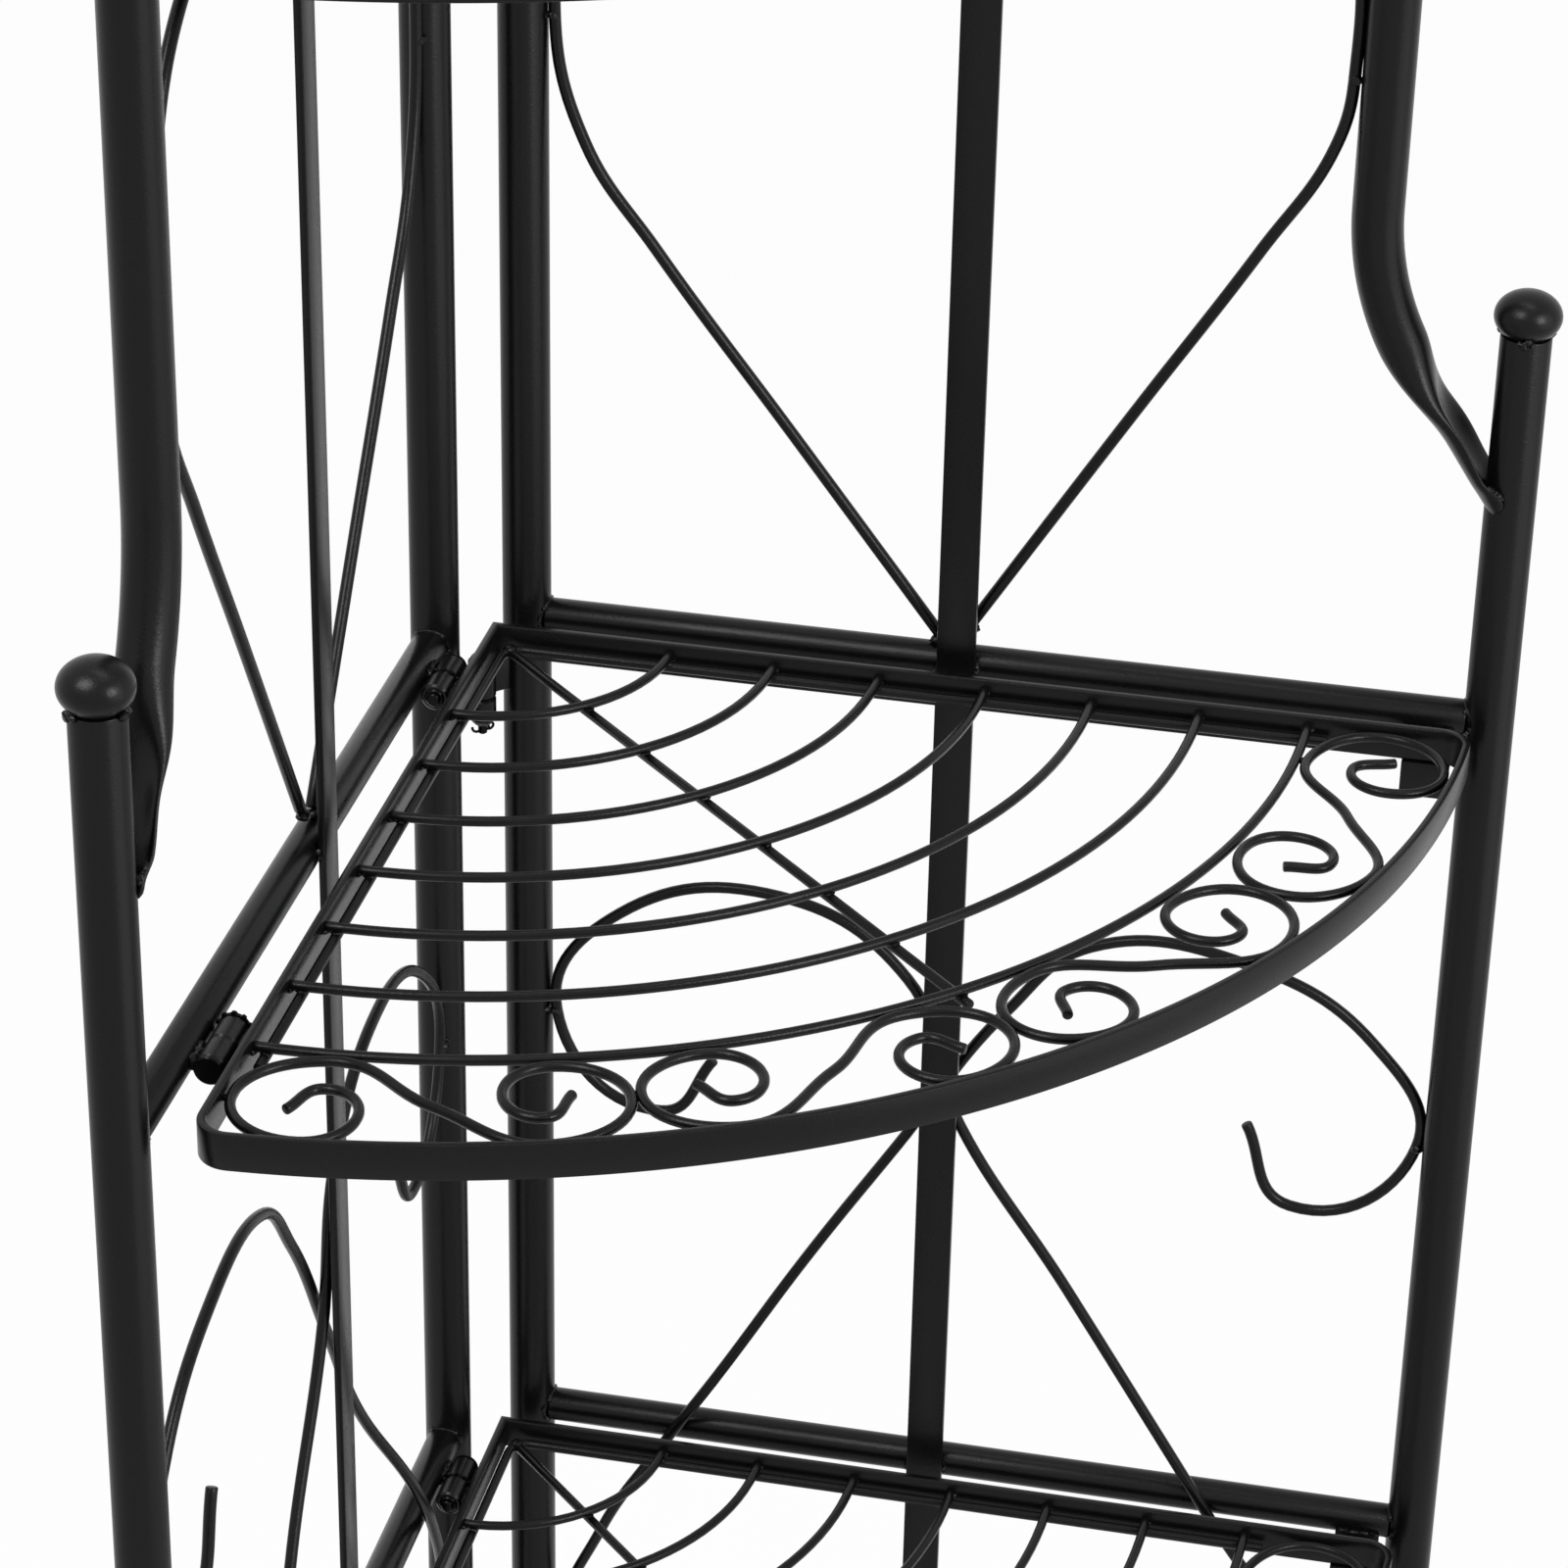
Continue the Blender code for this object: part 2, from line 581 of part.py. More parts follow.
def scroll_path(reach, last_arc, index):
    """One scroll's knots; scrolls are counted from the left side and touch each other."""
    inner = last_arc + 2 * SHELF_WIRE_R + GAP
    middle = last_arc + 0.5 * BAND_W
    end_clear = SHELF_WIRE_R + BAND_CLEAR
    touch = 2 * SHELF_WIRE_HALF - WELD
    length = (0.5 * math.pi * middle - 2 * end_clear - (SCROLL_COUNT - 1) * touch) / SCROLL_COUNT
    path = []
    for part, width in SCROLL + [(1 - part, 1 - width) for part, width in reversed(SCROLL[:-1])]:
        run = end_clear + index * (length + touch) + part * length
        angle = 0.5 * math.pi - run / middle
        outer = bow_reach(reach, angle) - RIM_T - SHELF_WIRE_R - BAND_CLEAR
        radius = inner + (outer - inner) * (1 - width if index % 2 else width)
        path.append((radius * math.cos(angle), -radius * math.sin(angle), 0))
    return path


# Shelf hinges and tabs: the shelf's left side turns on the rail and its right side rests on a tab
# The front hinge stands past the crossing wire's leg, which passes the rail at LEG_AT_RAIL of the width
HINGE_REAR_U = 0.0426
LEG_AT_RAIL = 0.79
HINGE_PAST_LEG = 0.0227
TAB_IN = 0.030
TAB_LEN = 0.018
TAB_DROP = 0.0144
TAB_T = 0.003
TAB_UP = 0.002
TAB_UNDER = 0.001
TAB_GRIP = 0.0016
BARREL_PAIR = 2 * BARREL_LEN + BARREL_SPLIT

for number, level in enumerate(LEVELS):
    shelf = "shelf_" + str(number + 1)
    carrier = shelves[number]
    corner = (0, 0, level)
    panel_end = UPPER_W if number == 3 else PANEL_W
    reach = panel_end - SHELF_IN
    last_arc = reach - BAND_W

    outline = [(x, y, RIM_UP - RIM_H) for x, y in rim_outline(reach)]
    rim = add_piece(shelf + "_rim", extruded("rim", outline, UP * RIM_H, RIM_T), corner, carrier)

    arcs, support, diagonal = shelf_grid(last_arc)
    grid = add_piece(shelf + "_grid", shelf_wires(arcs), corner, carrier)
    for path in (support, diagonal):
        combine(grid, add_piece("wire_stock", shelf_wires([path]), corner, carrier), "UNION")

    scrolls = [scroll_path(reach, last_arc, index) for index in range(SCROLL_COUNT)]
    band_wires = shelf_wires(scrolls[0::2], SCROLL_BEND_STEPS)
    band = add_piece(shelf + "_scroll_band", band_wires, corner, carrier)
    turned_over = shelf_wires(scrolls[1::2], SCROLL_BEND_STEPS)
    combine(band, add_piece("scroll_stock", turned_over, corner, carrier), "UNION")

    rail = bpy.data.objects["left_rail_" + str(number + 1)]
    front_touch = panel_end - POST_R - GAP - WIRE_R
    hinge_front_u = REAR_TOUCH + (front_touch - REAR_TOUCH) * LEG_AT_RAIL + HINGE_PAST_LEG
    axis_z = level - SHELF_HINGE_DROP
    for end, hinge_u, outward in (("rear", HINGE_REAR_U, 1), ("front", hinge_front_u, -1)):
        turn = (-0.5 * math.pi * outward, 0, 0)
        half = 0.5 * (BARREL_LEN + BARREL_SPLIT) * outward
        outer = Vector((SHELF_HINGE_X, -hinge_u + half, axis_z))
        inner = Vector((SHELF_HINGE_X, -hinge_u - half, axis_z))
        rail_root = Vector((-PANEL_BACK, outer.y, level + RAIL_UP))
        rim_root = Vector((-0.5 * RIM_T, inner.y, axis_z))
        width_axis = Vector((0, 1, 0))
        add_barrel(rail, left_panel, outer, turn, BARREL_LEN, rail_root, width_axis)
        add_barrel(rim, carrier, inner, turn, BARREL_LEN, rim_root, width_axis)
        head = (SHELF_HINGE_X, -hinge_u + 0.5 * BARREL_PAIR * outward, axis_z)
        add_piece(shelf + "_" + end + "_pin", hinge_pin(BARREL_PAIR), head, left_panel, PIN_COAT, turn)

    ledge = level + RIM_UP - RIM_H - GAP
    wall_y = PANEL_BACK - RAIL_R - GAP
    profile = [
        (wall_y + TAB_GRIP, level + RAIL_UP + TAB_UP), (wall_y + TAB_GRIP - TAB_T, level + RAIL_UP + TAB_UP),
        (wall_y + TAB_GRIP - TAB_T, ledge), (-TAB_UNDER, ledge), (-TAB_UNDER, ledge - TAB_DROP),
        (-TAB_UNDER + TAB_T, ledge - TAB_DROP), (-TAB_UNDER + TAB_T, ledge - TAB_T),
        (wall_y + TAB_GRIP, ledge - TAB_T),
    ]
    outline = [(panel_end - TAB_IN, y, z) for y, z in profile]
    tab = extruded("tab", outline, Vector((TAB_LEN, 0, 0)))
    right_rail = bpy.data.objects["right_rail_" + str(number + 1)]
    combine(right_rail, add_piece("tab_stock", tab, (0, 0, 0), right_panel), "UNION")
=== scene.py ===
import math

import bmesh
import bpy
from mathutils import Matrix, Vector, noise


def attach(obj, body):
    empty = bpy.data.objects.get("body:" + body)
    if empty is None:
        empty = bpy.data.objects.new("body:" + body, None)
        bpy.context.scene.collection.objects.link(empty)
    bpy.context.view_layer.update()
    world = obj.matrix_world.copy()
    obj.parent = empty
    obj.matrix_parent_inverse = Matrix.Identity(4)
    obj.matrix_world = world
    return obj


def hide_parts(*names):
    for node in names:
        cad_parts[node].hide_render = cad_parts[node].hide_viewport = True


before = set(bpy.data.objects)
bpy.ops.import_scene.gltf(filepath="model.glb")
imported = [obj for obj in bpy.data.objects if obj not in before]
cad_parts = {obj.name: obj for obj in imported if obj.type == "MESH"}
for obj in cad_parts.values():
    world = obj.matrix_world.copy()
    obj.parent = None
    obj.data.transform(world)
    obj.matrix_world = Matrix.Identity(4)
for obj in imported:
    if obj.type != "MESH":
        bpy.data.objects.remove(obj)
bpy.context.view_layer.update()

# Folding corner plant stand, in metres with +Z up. The right panel stands along the back and the
# left panel along the left side; places are measured from the shelves' inner rear corner.


# Foot caps
# Black polyethylene cups, injection moulded and pushed over the cut ends of the four posts.
# The whole stand rests on their floors.
POST_R = 0.0095
PANEL_W = 0.380
REAR_IN = 0.0053
PANEL_BACK = 0.0238
PLAN_SHIFT = 0.5 * (PANEL_W - PANEL_BACK)
FOOT_R = 0.0111
FOOT_BORE = 0.0098
FOOT_H = 0.016
FOOT_FLOOR = 0.004
FOOT_ROUND = 0.0012
LIP_ROUND = 0.0005
FOOT_SIDES = 64
# Where the middle of a rounded edge lies from its two flats, as a share of its radius
ROUND_MID = 0.3


def linear(code):
    """A hex colour as the eye sees it on a screen, turned to the linear values that shaders use."""
    parts = [int(code[place:place + 2], 16) / 255 for place in (1, 3, 5)]
    return [part / 12.92 if part <= 0.04045 else ((part + 0.055) / 1.055) ** 2.4 for part in parts] + [1.0]


def add_node(tree, kind, settings=None, **sockets):
    """Adds a node with its settings; each socket takes a value or another node's output."""
    node = tree.nodes.new(kind)
    for key, value in (settings or {}).items():
        setattr(node, key, value)
    for key, value in sockets.items():
        socket = node.inputs[key.replace("_", " ")]
        if isinstance(value, bpy.types.NodeSocket):
            tree.links.new(value, socket)
        else:
            socket.default_value = value
    return node


def panel_point(side, u, out, z):
    """A point on a side panel: u from the corner along it, out towards the shelves."""
    if side == "left":
        return Vector((-PLAN_SHIFT - PANEL_BACK + out, PLAN_SHIFT - u, z))
    return Vector((-PLAN_SHIFT + u, PLAN_SHIFT + PANEL_BACK - out, z))


def turned(bm, profile, sides, place, ring=False):
    """A solid turned about its Z from (radius, height) points, from axis to axis or as a closed ring."""
    loops = []
    for radius, height in profile:
        count = sides if radius > 1e-6 else 1
        turns = [2 * math.pi * k / sides for k in range(count)]
        spots = [Vector((radius * math.cos(turn), radius * math.sin(turn), height)) for turn in turns]
        loops.append([bm.verts.new(place @ spot) for spot in spots])
    for low, high in zip(loops, loops[1:] + (loops[:1] if ring else [])):
        for k in range(sides):
            n = (k + 1) % sides
            corners = [low[k % len(low)], low[n % len(low)], high[n % len(high)], high[k % len(high)]]
            bm.faces.new(dict.fromkeys(corners))
    return [vert for loop in loops for vert in loop]


def made(name, bm, coat, crease=40):
    """The piece that was built, smooth but for edges sharper than the crease in degrees."""
    bmesh.ops.recalc_face_normals(bm, faces=bm.faces)
    mesh = bpy.data.meshes.new(name)
    bm.to_mesh(mesh)
    bm.free()
    mesh.shade_smooth()
    mesh.set_sharp_from_angle(angle=math.radians(crease))
    mesh.materials.append(coat)
    piece = bpy.data.objects.new(name, mesh)
    bpy.context.scene.collection.objects.link(piece)
    return piece


# Moulded black polyethylene: an even dull sheen with a faint spark-eroded grain from the mould
GRAIN_POLYETHYLENE = 0.0008
GRAIN_DEPTH = 0.0001
moulded = bpy.data.materials.new("moulded_black_polyethylene")
moulded.use_nodes = True
tree = moulded.node_tree
shader = tree.nodes["Principled BSDF"]
shader.inputs["Base Color"].default_value = linear("#19191a")
shader.inputs["IOR"].default_value = 1.51
shape = add_node(tree, "ShaderNodeTexCoord").outputs["Object"]
grain = add_node(tree, "ShaderNodeTexNoise", Vector=shape, Scale=1 / GRAIN_POLYETHYLENE, Detail=2.0)
bump = add_node(tree, "ShaderNodeBump", Height=grain.outputs["Fac"], Strength=0.3, Distance=GRAIN_DEPTH)
tree.links.new(bump.outputs["Normal"], shader.inputs["Normal"])
dull = add_node(tree, "ShaderNodeMapRange", Value=grain.outputs["Fac"], To_Min=0.5, To_Max=0.68)
tree.links.new(dull.outputs["Result"], shader.inputs["Roughness"])

for side in ("left", "right"):
    for where, u in (("rear", REAR_IN), ("front", PANEL_W)):
        cup = [
            (0, 0), (FOOT_R - FOOT_ROUND, 0),
            (FOOT_R - ROUND_MID * FOOT_ROUND, ROUND_MID * FOOT_ROUND), (FOOT_R, FOOT_ROUND),
            (FOOT_R, FOOT_H - LIP_ROUND), (FOOT_R - LIP_ROUND, FOOT_H), (FOOT_BORE, FOOT_H),
            (FOOT_BORE, FOOT_FLOOR), (0, FOOT_FLOOR),
        ]
        bm = bmesh.new()
        turned(bm, cup, FOOT_SIDES, Matrix.Translation(panel_point(side, u, 0, 0)))
        cap = made(side + "_" + where + "_foot_cap", bm, moulded)
        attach(cap, side + "_panel")
        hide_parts(side + "_" + where + "_foot")


# Rear uprights and lower front posts
# Straight 19 mm steel tube, sawn to length, sprayed with satin black powder and baked.
# The rear uprights also carry the corner hinge's barrels, each welded on by a short web.
UP = Vector((0, 0, 1))
LEVELS = [0.130, 0.505, 0.880, 1.255]
POST_FOOT = 0.0043
POST_TOP = LEVELS[2] + 0.1565
UPRIGHT_TOP = LEVELS[3] + 0.349
TUBE_SIDES = 56
SAWN_ROUND = 0.0006
AXIS_IN = 0.5 * (PANEL_BACK - REAR_IN)
CORNER_TOPS = [LEVELS[0] - 0.016, LEVELS[2] - 0.016, LEVELS[3] + 0.2625]
CORNER_BARREL_LEN = 0.016
BARREL_R = 0.0055
BARREL_BORE = 0.00275
BARREL_SPLIT = 0.0004
BARREL_ROUND = 0.0008
BARREL_SIDES = 40
WEB_T = 0.004
WEB_SHORT = 0.001
CORNER_WEB_ROUND = 0.0003
FOOT_CUT = 0.0042
FOOT_TAPER = 0.0032
FOOT_NECK_R = 0.0031
# A weld's lumps: how uneven they are, how fine that is, and how fast it changes from place to place
LUMP_UNEVEN = 0.45
LUMP_FINE = 1.3
LUMP_CHANGE = 800

# Satin black powder coat over steel: nearly black, with soft wide highlights that are broken up by
# the fine orange peel left when the grains melt together; thicker patches are a little smoother
# The peel is drawn coarse enough for the render to show it, and the reflections are set low,
# because the white room and floor show in them at their full white
PEEL = 0.0009
PEEL_DEPTH = 0.00012
THICKNESS_PATCH = 0.035
powder = bpy.data.materials.new("satin_black_powder_coat")
powder.use_nodes = True
tree = powder.node_tree
shader = tree.nodes["Principled BSDF"]
shader.inputs["IOR"].default_value = 1.5
shader.inputs["Specular IOR Level"].default_value = 0.175
shape = add_node(tree, "ShaderNodeTexCoord").outputs["Object"]
peel = add_node(tree, "ShaderNodeTexNoise", Vector=shape, Scale=1 / PEEL, Detail=3.0, Roughness=0.6)
bump = add_node(tree, "ShaderNodeBump", Height=peel.outputs["Fac"], Strength=0.7, Distance=PEEL_DEPTH)
tree.links.new(bump.outputs["Normal"], shader.inputs["Normal"])
patch = add_node(tree, "ShaderNodeTexNoise", Vector=shape, Scale=1 / THICKNESS_PATCH, Detail=2.0)
satin = add_node(tree, "ShaderNodeMapRange", Value=patch.outputs["Fac"], To_Min=0.24, To_Max=0.31)
tree.links.new(satin.outputs["Result"], shader.inputs["Roughness"])
tone = add_node(tree, "ShaderNodeValToRGB", Fac=peel.outputs["Fac"])
tone.color_ramp.elements[0].position = 0.3
tone.color_ramp.elements[0].color = linear("#080809")
tone.color_ramp.elements[1].position = 0.7
tone.color_ramp.elements[1].color = linear("#0e0e0f")
tree.links.new(tone.outputs["Color"], shader.inputs["Base Color"])


def barrel_ring(length, narrows=False):
    """The section of a bored hinge barrel that stands on its foot, which may narrow to a neck."""
    soft = BARREL_ROUND
    foot = [(BARREL_BORE, 0), (BARREL_R - soft, 0), (BARREL_R, soft)]
    if narrows:
        shoulder = FOOT_CUT + FOOT_TAPER
        foot = [
            (BARREL_BORE, FOOT_CUT), (FOOT_NECK_R, FOOT_CUT), (FOOT_NECK_R + soft, FOOT_CUT + soft),
            (BARREL_R - 0.5 * soft, shoulder - soft), (BARREL_R, shoulder),
        ]
    return foot + [(BARREL_R, length - soft), (BARREL_R - soft, length), (BARREL_BORE, length)]


def slab(bm, centre, along, across, thick, soft):
    """A plate given by its three half extents, with its edges rounded."""
    place = Matrix((along, across, thick)).transposed().to_4x4()
    place.translation = centre
    block = bmesh.ops.create_cube(bm, size=2.0, matrix=place)
    edges = list(dict.fromkeys(edge for vert in block["verts"] for edge in vert.link_edges))
    bmesh.ops.bevel(bm, geom=edges, offset=soft, segments=2, profile=0.5, affect="EDGES")


def lump(bm, at, axes, size):
    """A lump of weld metal: a ball drawn out along the axes and made uneven, as it cooled."""
    ball = bmesh.ops.create_icosphere(bm, subdivisions=2, radius=1.0)
    for vert in ball["verts"]:
        swell = 1 + LUMP_UNEVEN * noise.noise(vert.co * LUMP_FINE + at * LUMP_CHANGE)
        spread = [part * reach * swell for part, reach in zip(vert.co, size)]
        vert.co = at + axes[0] * spread[0] + axes[1] * spread[1] + axes[2] * spread[2]


for side in ("left", "right"):
    for name, u, top in (("rear_upright", REAR_IN, UPRIGHT_TOP), ("front_post", PANEL_W, POST_TOP)):
        bm = bmesh.new()
        soft = SAWN_ROUND
        stick = [
            (0, POST_FOOT), (POST_R - soft, POST_FOOT), (POST_R, POST_FOOT + soft), (POST_R, top - soft),
            (POST_R - ROUND_MID * soft, top - ROUND_MID * soft), (POST_R - soft, top), (0, top),
        ]
        axis = panel_point(side, u, 0, 0)
        turned(bm, stick, TUBE_SIDES, Matrix.Translation(axis))
        for corner_top in CORNER_TOPS if name == "rear_upright" else []:
            drop = CORNER_BARREL_LEN if side == "right" else 2 * CORNER_BARREL_LEN + BARREL_SPLIT
            foot = Vector((-PLAN_SHIFT - AXIS_IN, PLAN_SHIFT + AXIS_IN, corner_top - drop))
            section = barrel_ring(CORNER_BARREL_LEN, narrows=side == "left")
            turned(bm, section, BARREL_SIDES, Matrix.Translation(foot), ring=True)
            web_low = FOOT_CUT + FOOT_TAPER if side == "left" else 0.0
            half = 0.5 * (CORNER_BARREL_LEN - web_low)
            near = Vector((axis.x, axis.y, foot.z + web_low + half))
            run = foot + UP * (web_low + half) - near
            reach = run.normalized()
            web_end = near + reach * (run.length - BARREL_BORE - BARREL_ROUND)
            slab(
                bm, 0.5 * (near + web_end), 0.5 * (web_end - near), UP * (half - WEB_SHORT),
                reach.cross(UP) * 0.5 * WEB_T, CORNER_WEB_ROUND,
            )
        post = made(side + "_" + name + "_tube", bm, powder)
        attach(post, side + "_panel")
        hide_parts(side + "_" + name)


# Ball finials
# Flattened steel balls that sit on the open ends of the posts and uprights, each held by three spots
# of weld; a thin dark seam shows where the ball meets the tube.
BALL_R = 0.0125
BALL_HALF_H = 0.0096
BALL_SEAT_R = 0.0088
SEAM_R = 0.0078
SEAM_H = 0.0005
BALL_STEPS = 36
BALL_SIDES = 72
SPOTS = 3
FIRST_SPOT = {"left": math.radians(-10), "right": math.radians(-86)}
SPOT_PROUD = 0.0003
# A spot is made of lumps: (across it, above the seam, size)
SPOT_LUMPS = [
    (-0.0023, 0.0002, 0.0011), (-0.0009, -0.0006, 0.0017),
    (0.0007, 0.0011, 0.0015), (0.002, 0.0, 0.0012),
]

for side in ("left", "right"):
    for name, u, top in (("post_finial", PANEL_W, POST_TOP), ("upright_finial", REAR_IN, UPRIGHT_TOP)):
        seat_turn = math.asin(BALL_SEAT_R / BALL_R)
        centre_h = SEAM_H + BALL_HALF_H * math.cos(seat_turn)
        profile = [(0, -SEAM_H), (SEAM_R, -SEAM_H), (SEAM_R, SEAM_H)]
        for step in range(BALL_STEPS):
            turn = seat_turn + (math.pi - seat_turn) * step / BALL_STEPS
            profile.append((BALL_R * math.sin(turn), centre_h - BALL_HALF_H * math.cos(turn)))
        profile.append((0, centre_h + BALL_HALF_H))
        seat = panel_point(side, u, 0, top)
        bm = bmesh.new()
        turned(bm, profile, BALL_SIDES, Matrix.Translation(seat))
        for spot in range(SPOTS):
            turn = FIRST_SPOT[side] + 2 * math.pi * spot / SPOTS
            face = Vector((math.cos(turn), math.sin(turn), 0))
            across = UP.cross(face)
            for shift, rise, size in SPOT_LUMPS:
                at = seat + face * (POST_R + SPOT_PROUD) + across * shift + UP * rise
                lump(bm, at, (across, face, UP), (size, size, size))
        ball = made(side + "_" + name + "_ball", bm, powder)
        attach(ball, side + "_panel")
        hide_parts(side + "_" + name)


# Upper front tubes
# The same 19 mm tube, arched over from the rear upright and bent outwards to the lower post. Its foot
# is pressed into a thin trough that straddles the post, with lumps of weld between its lips and the post.
UPPER_W = PANEL_W - 0.057
ARCH_LOW = LEVELS[3] + 0.190
ARCH_HIGH = LEVELS[3] + 0.320
ARCH_INTO_POST = 0.0005
ARCH_U = REAR_IN + POST_R - ARCH_INTO_POST
ARCH_STEPS = 36
BEND_HIGH = LEVELS[2] + 0.200
BEND_R = 0.110
BEND_TURN = math.radians(34)
BEND_STEPS = 24
SLOPE_STEPS = 40
TROUGH_T = 0.0032
TROUGH_W = 0.0138
TROUGH_SINK = 0.0026
# How the press shapes the foot: (above the middle shelf, how far pressed, turn of each wing)
PRESS = [(0.150, 0.0, 0.0), (0.114, 1.0, 1.0), (0.100, 1.0, 0.8), (0.092, 1.0, 1.2), (0.080, 1.0, 1.2)]
TIP_FROM = LEVELS[2] + 0.091
TIP_TO = LEVELS[2] + 0.087
# The lumps of weld along each lip, from a few steps above the tip upwards, and how far inside it they lie
LIP_FROM = 4
LIP_LUMPS = [0.0011, 0.0015, 0.0012, 0.0013, 0.0009]
WELD_IN = 0.0011


def panel_axes(side):
    """The panel's directions along itself and out towards the shelves."""
    if side == "left":
        return Vector((0, -1, 0)), Vector((1, 0, 0))
    return Vector((1, 0, 0)), Vector((0, -1, 0))


def swept(bm, stations, sides):
    """A bar through stations of (centre, half width, half depth), closed at both ends."""
    turns = [2 * math.pi * k / sides for k in range(sides)]
    loops = []
    for centre, wide, deep in stations:
        loops.append([bm.verts.new(centre + wide * math.cos(turn) + deep * math.sin(turn)) for turn in turns])
    for low, high in zip(loops, loops[1:]):
        for k in range(sides):
            n = (k + 1) % sides
            bm.faces.new((low[k], low[n], high[n], high[k]))
    bm.faces.new(loops[0])
    bm.faces.new(loops[-1])
    return loops


def pressed(height):
    """How far the tube is pressed at a height, and the turn of the trough's wings there."""
    above = height - LEVELS[2]
    for (high, press_1, turn_1), (low, press_2, turn_2) in zip(PRESS, PRESS[1:]):
        if low <= above <= high:
            part = (high - above) / (high - low)
            part = part ** 2 * (3 - 2 * part)
            return press_1 + (press_2 - press_1) * part, turn_1 + (turn_2 - turn_1) * part
    return 0.0, 0.0


for side in ("left", "right"):
    along, out = panel_axes(side)
    spots = []
    for step in range(ARCH_STEPS + 1):
        turn = 0.5 * math.pi * step / ARCH_STEPS
        u = ARCH_U + (UPPER_W - ARCH_U) * math.sin(turn)
        spots.append(panel_point(side, u, 0, ARCH_LOW + (ARCH_HIGH - ARCH_LOW) * math.cos(turn)))
    for step in range(BEND_STEPS + 1):
        turn = BEND_TURN * step / BEND_STEPS
        u = UPPER_W + BEND_R * (1 - math.cos(turn))
        spots.append(panel_point(side, u, 0, BEND_HIGH - BEND_R * math.sin(turn)))
    slope = along * math.sin(BEND_TURN) - UP * math.cos(BEND_TURN)
    slope_from = spots[-1]
    slope_len = (slope_from.z - TIP_TO) / math.cos(BEND_TURN)
    for step in range(1, SLOPE_STEPS):
        spots.append(slope_from + slope * slope_len * step / SLOPE_STEPS)
    stations = []
    wings = []
    for index, spot in enumerate(spots):
        run = along if index == 0 else spots[min(index + 1, len(spots) - 1)] - spots[index - 1]
        inward = run.cross(out).normalized() * (1 if side == "left" else -1)
        press, wing_turn = pressed(spot.z)
        tip = max(0, (TIP_FROM - spot.z) / (TIP_FROM - TIP_TO))
        share = math.sqrt(1 - tip ** 2)
        wide = (POST_R + (TROUGH_W - POST_R) * press) * share
        deep = POST_R + (0.5 * TROUGH_T - POST_R) * press
        stations.append((spot - inward * TROUGH_SINK * press, out * wide, inward * deep))
        wings.append((inward, press, wing_turn))
    bm = bmesh.new()
    loops = swept(bm, stations, TUBE_SIDES)
    for loop, (centre, wide, _), (inward, press, wing_turn) in zip(loops, stations, wings):
        for vert in loop if wing_turn > 0 else []:
            off = (vert.co - centre).dot(out)
            part = off / wide.length
            fuller = math.sqrt(1 + part ** 2 + part ** 4)
            depth = (vert.co - centre).dot(inward) * (1 - press + press * fuller)
            round_r = TROUGH_W / wing_turn
            turn = off / round_r
            lift = round_r - (round_r - depth) * math.cos(turn)
            vert.co = centre + out * (round_r - depth) * math.sin(turn) + inward * lift
    lips = []
    for lip, way in ((0, 1), (TUBE_SIDES // 2, -1)):
        for step, size in enumerate(LIP_LUMPS):
            lips.append((loops[-LIP_FROM - step][lip].co - out * way * WELD_IN, size))
    for at, size in lips:
        lump(bm, at, (along, out, UP), (size, size, size))
    tube = made(side + "_upper_front_tube", bm, powder)
    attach(tube, side + "_panel")
    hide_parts(side + "_upper_tube")


# Rails
# Straight 14 mm tube across each panel at every shelf, with its ends cut to the posts' round and
# welded all the way round. The left rails carry the shelf hinges' outer barrels on welded webs, and
# each right rail has a tab bent from strip, on which the shelf's free side rests.
RAIL_R = 0.007
RAIL_UP = -0.001
RAIL_SIDES = 48
RAIL_INTO_POST = 0.001
FILLET = 0.0007
FILLET_ROWS = 5
FILLET_UNEVEN = 0.5
FILLET_FINE = 3
FILLET_CHANGE = 700
FILLET_SWELL = 0.22
# Where the bead is thicker: (angle round the rail from the shelves' side, size)
END_LUMPS = [(-0.5, 0.0013), (-0.2, 0.001), (0.75, 0.0012), (2.2, 0.0011)]
END_PROUD = 0.0002
CUT_ROUND = 0.0005
BARREL_LEN = 0.013
BARREL_PAIR = 2 * BARREL_LEN + BARREL_SPLIT
SHELF_HINGE_X = -0.010
SHELF_HINGE_DROP = 0.0008
HINGE_REAR_U = 0.0426
WIRE_R = 0.0023
GAP = 0.0003
REAR_TOUCH = REAR_IN + POST_R + GAP + WIRE_R
LEG_AT_RAIL = 0.79
HINGE_PAST_LEG = 0.0227
HINGE_WEB_ROUND = 0.0004
WEB_WELD_PROUD = 0.0004
RAIL_WEB_SPOTS = (-0.0042, -0.0008, 0.003)
RAIL_WEB_LUMP = (0.0022, 0.0017, 0.0014)
RIM_UP = 0.0042
RIM_H = 0.0135
TAB_IN = 0.030
TAB_LEN = 0.018
TAB_DROP = 0.0144
TAB_T = 0.003
TAB_UP = -0.0025
TAB_UNDER = 0.001
TAB_GRIP = 0.0016
TAB_ROUND = 0.0004
TAB_SPOTS = (0.003, 0.0075, 0.0118, 0.0155)
TAB_LUMP = (0.0024, 0.0016, 0.0009)


def shelf_end(number):
    """How far out on the panels a shelf's front posts stand; the top shelf is between the upper tubes."""
    return UPPER_W if number == 3 else PANEL_W


def hinge_places(number):
    """A shelf's hinges: name, place along the rail, and the pin head's way, 1 to the rear or -1."""
    front_touch = shelf_end(number) - POST_R - GAP - WIRE_R
    front_u = REAR_TOUCH + (front_touch - REAR_TOUCH) * LEG_AT_RAIL + HINGE_PAST_LEG
    return ("rear", HINGE_REAR_U, 1), ("front", front_u, -1)


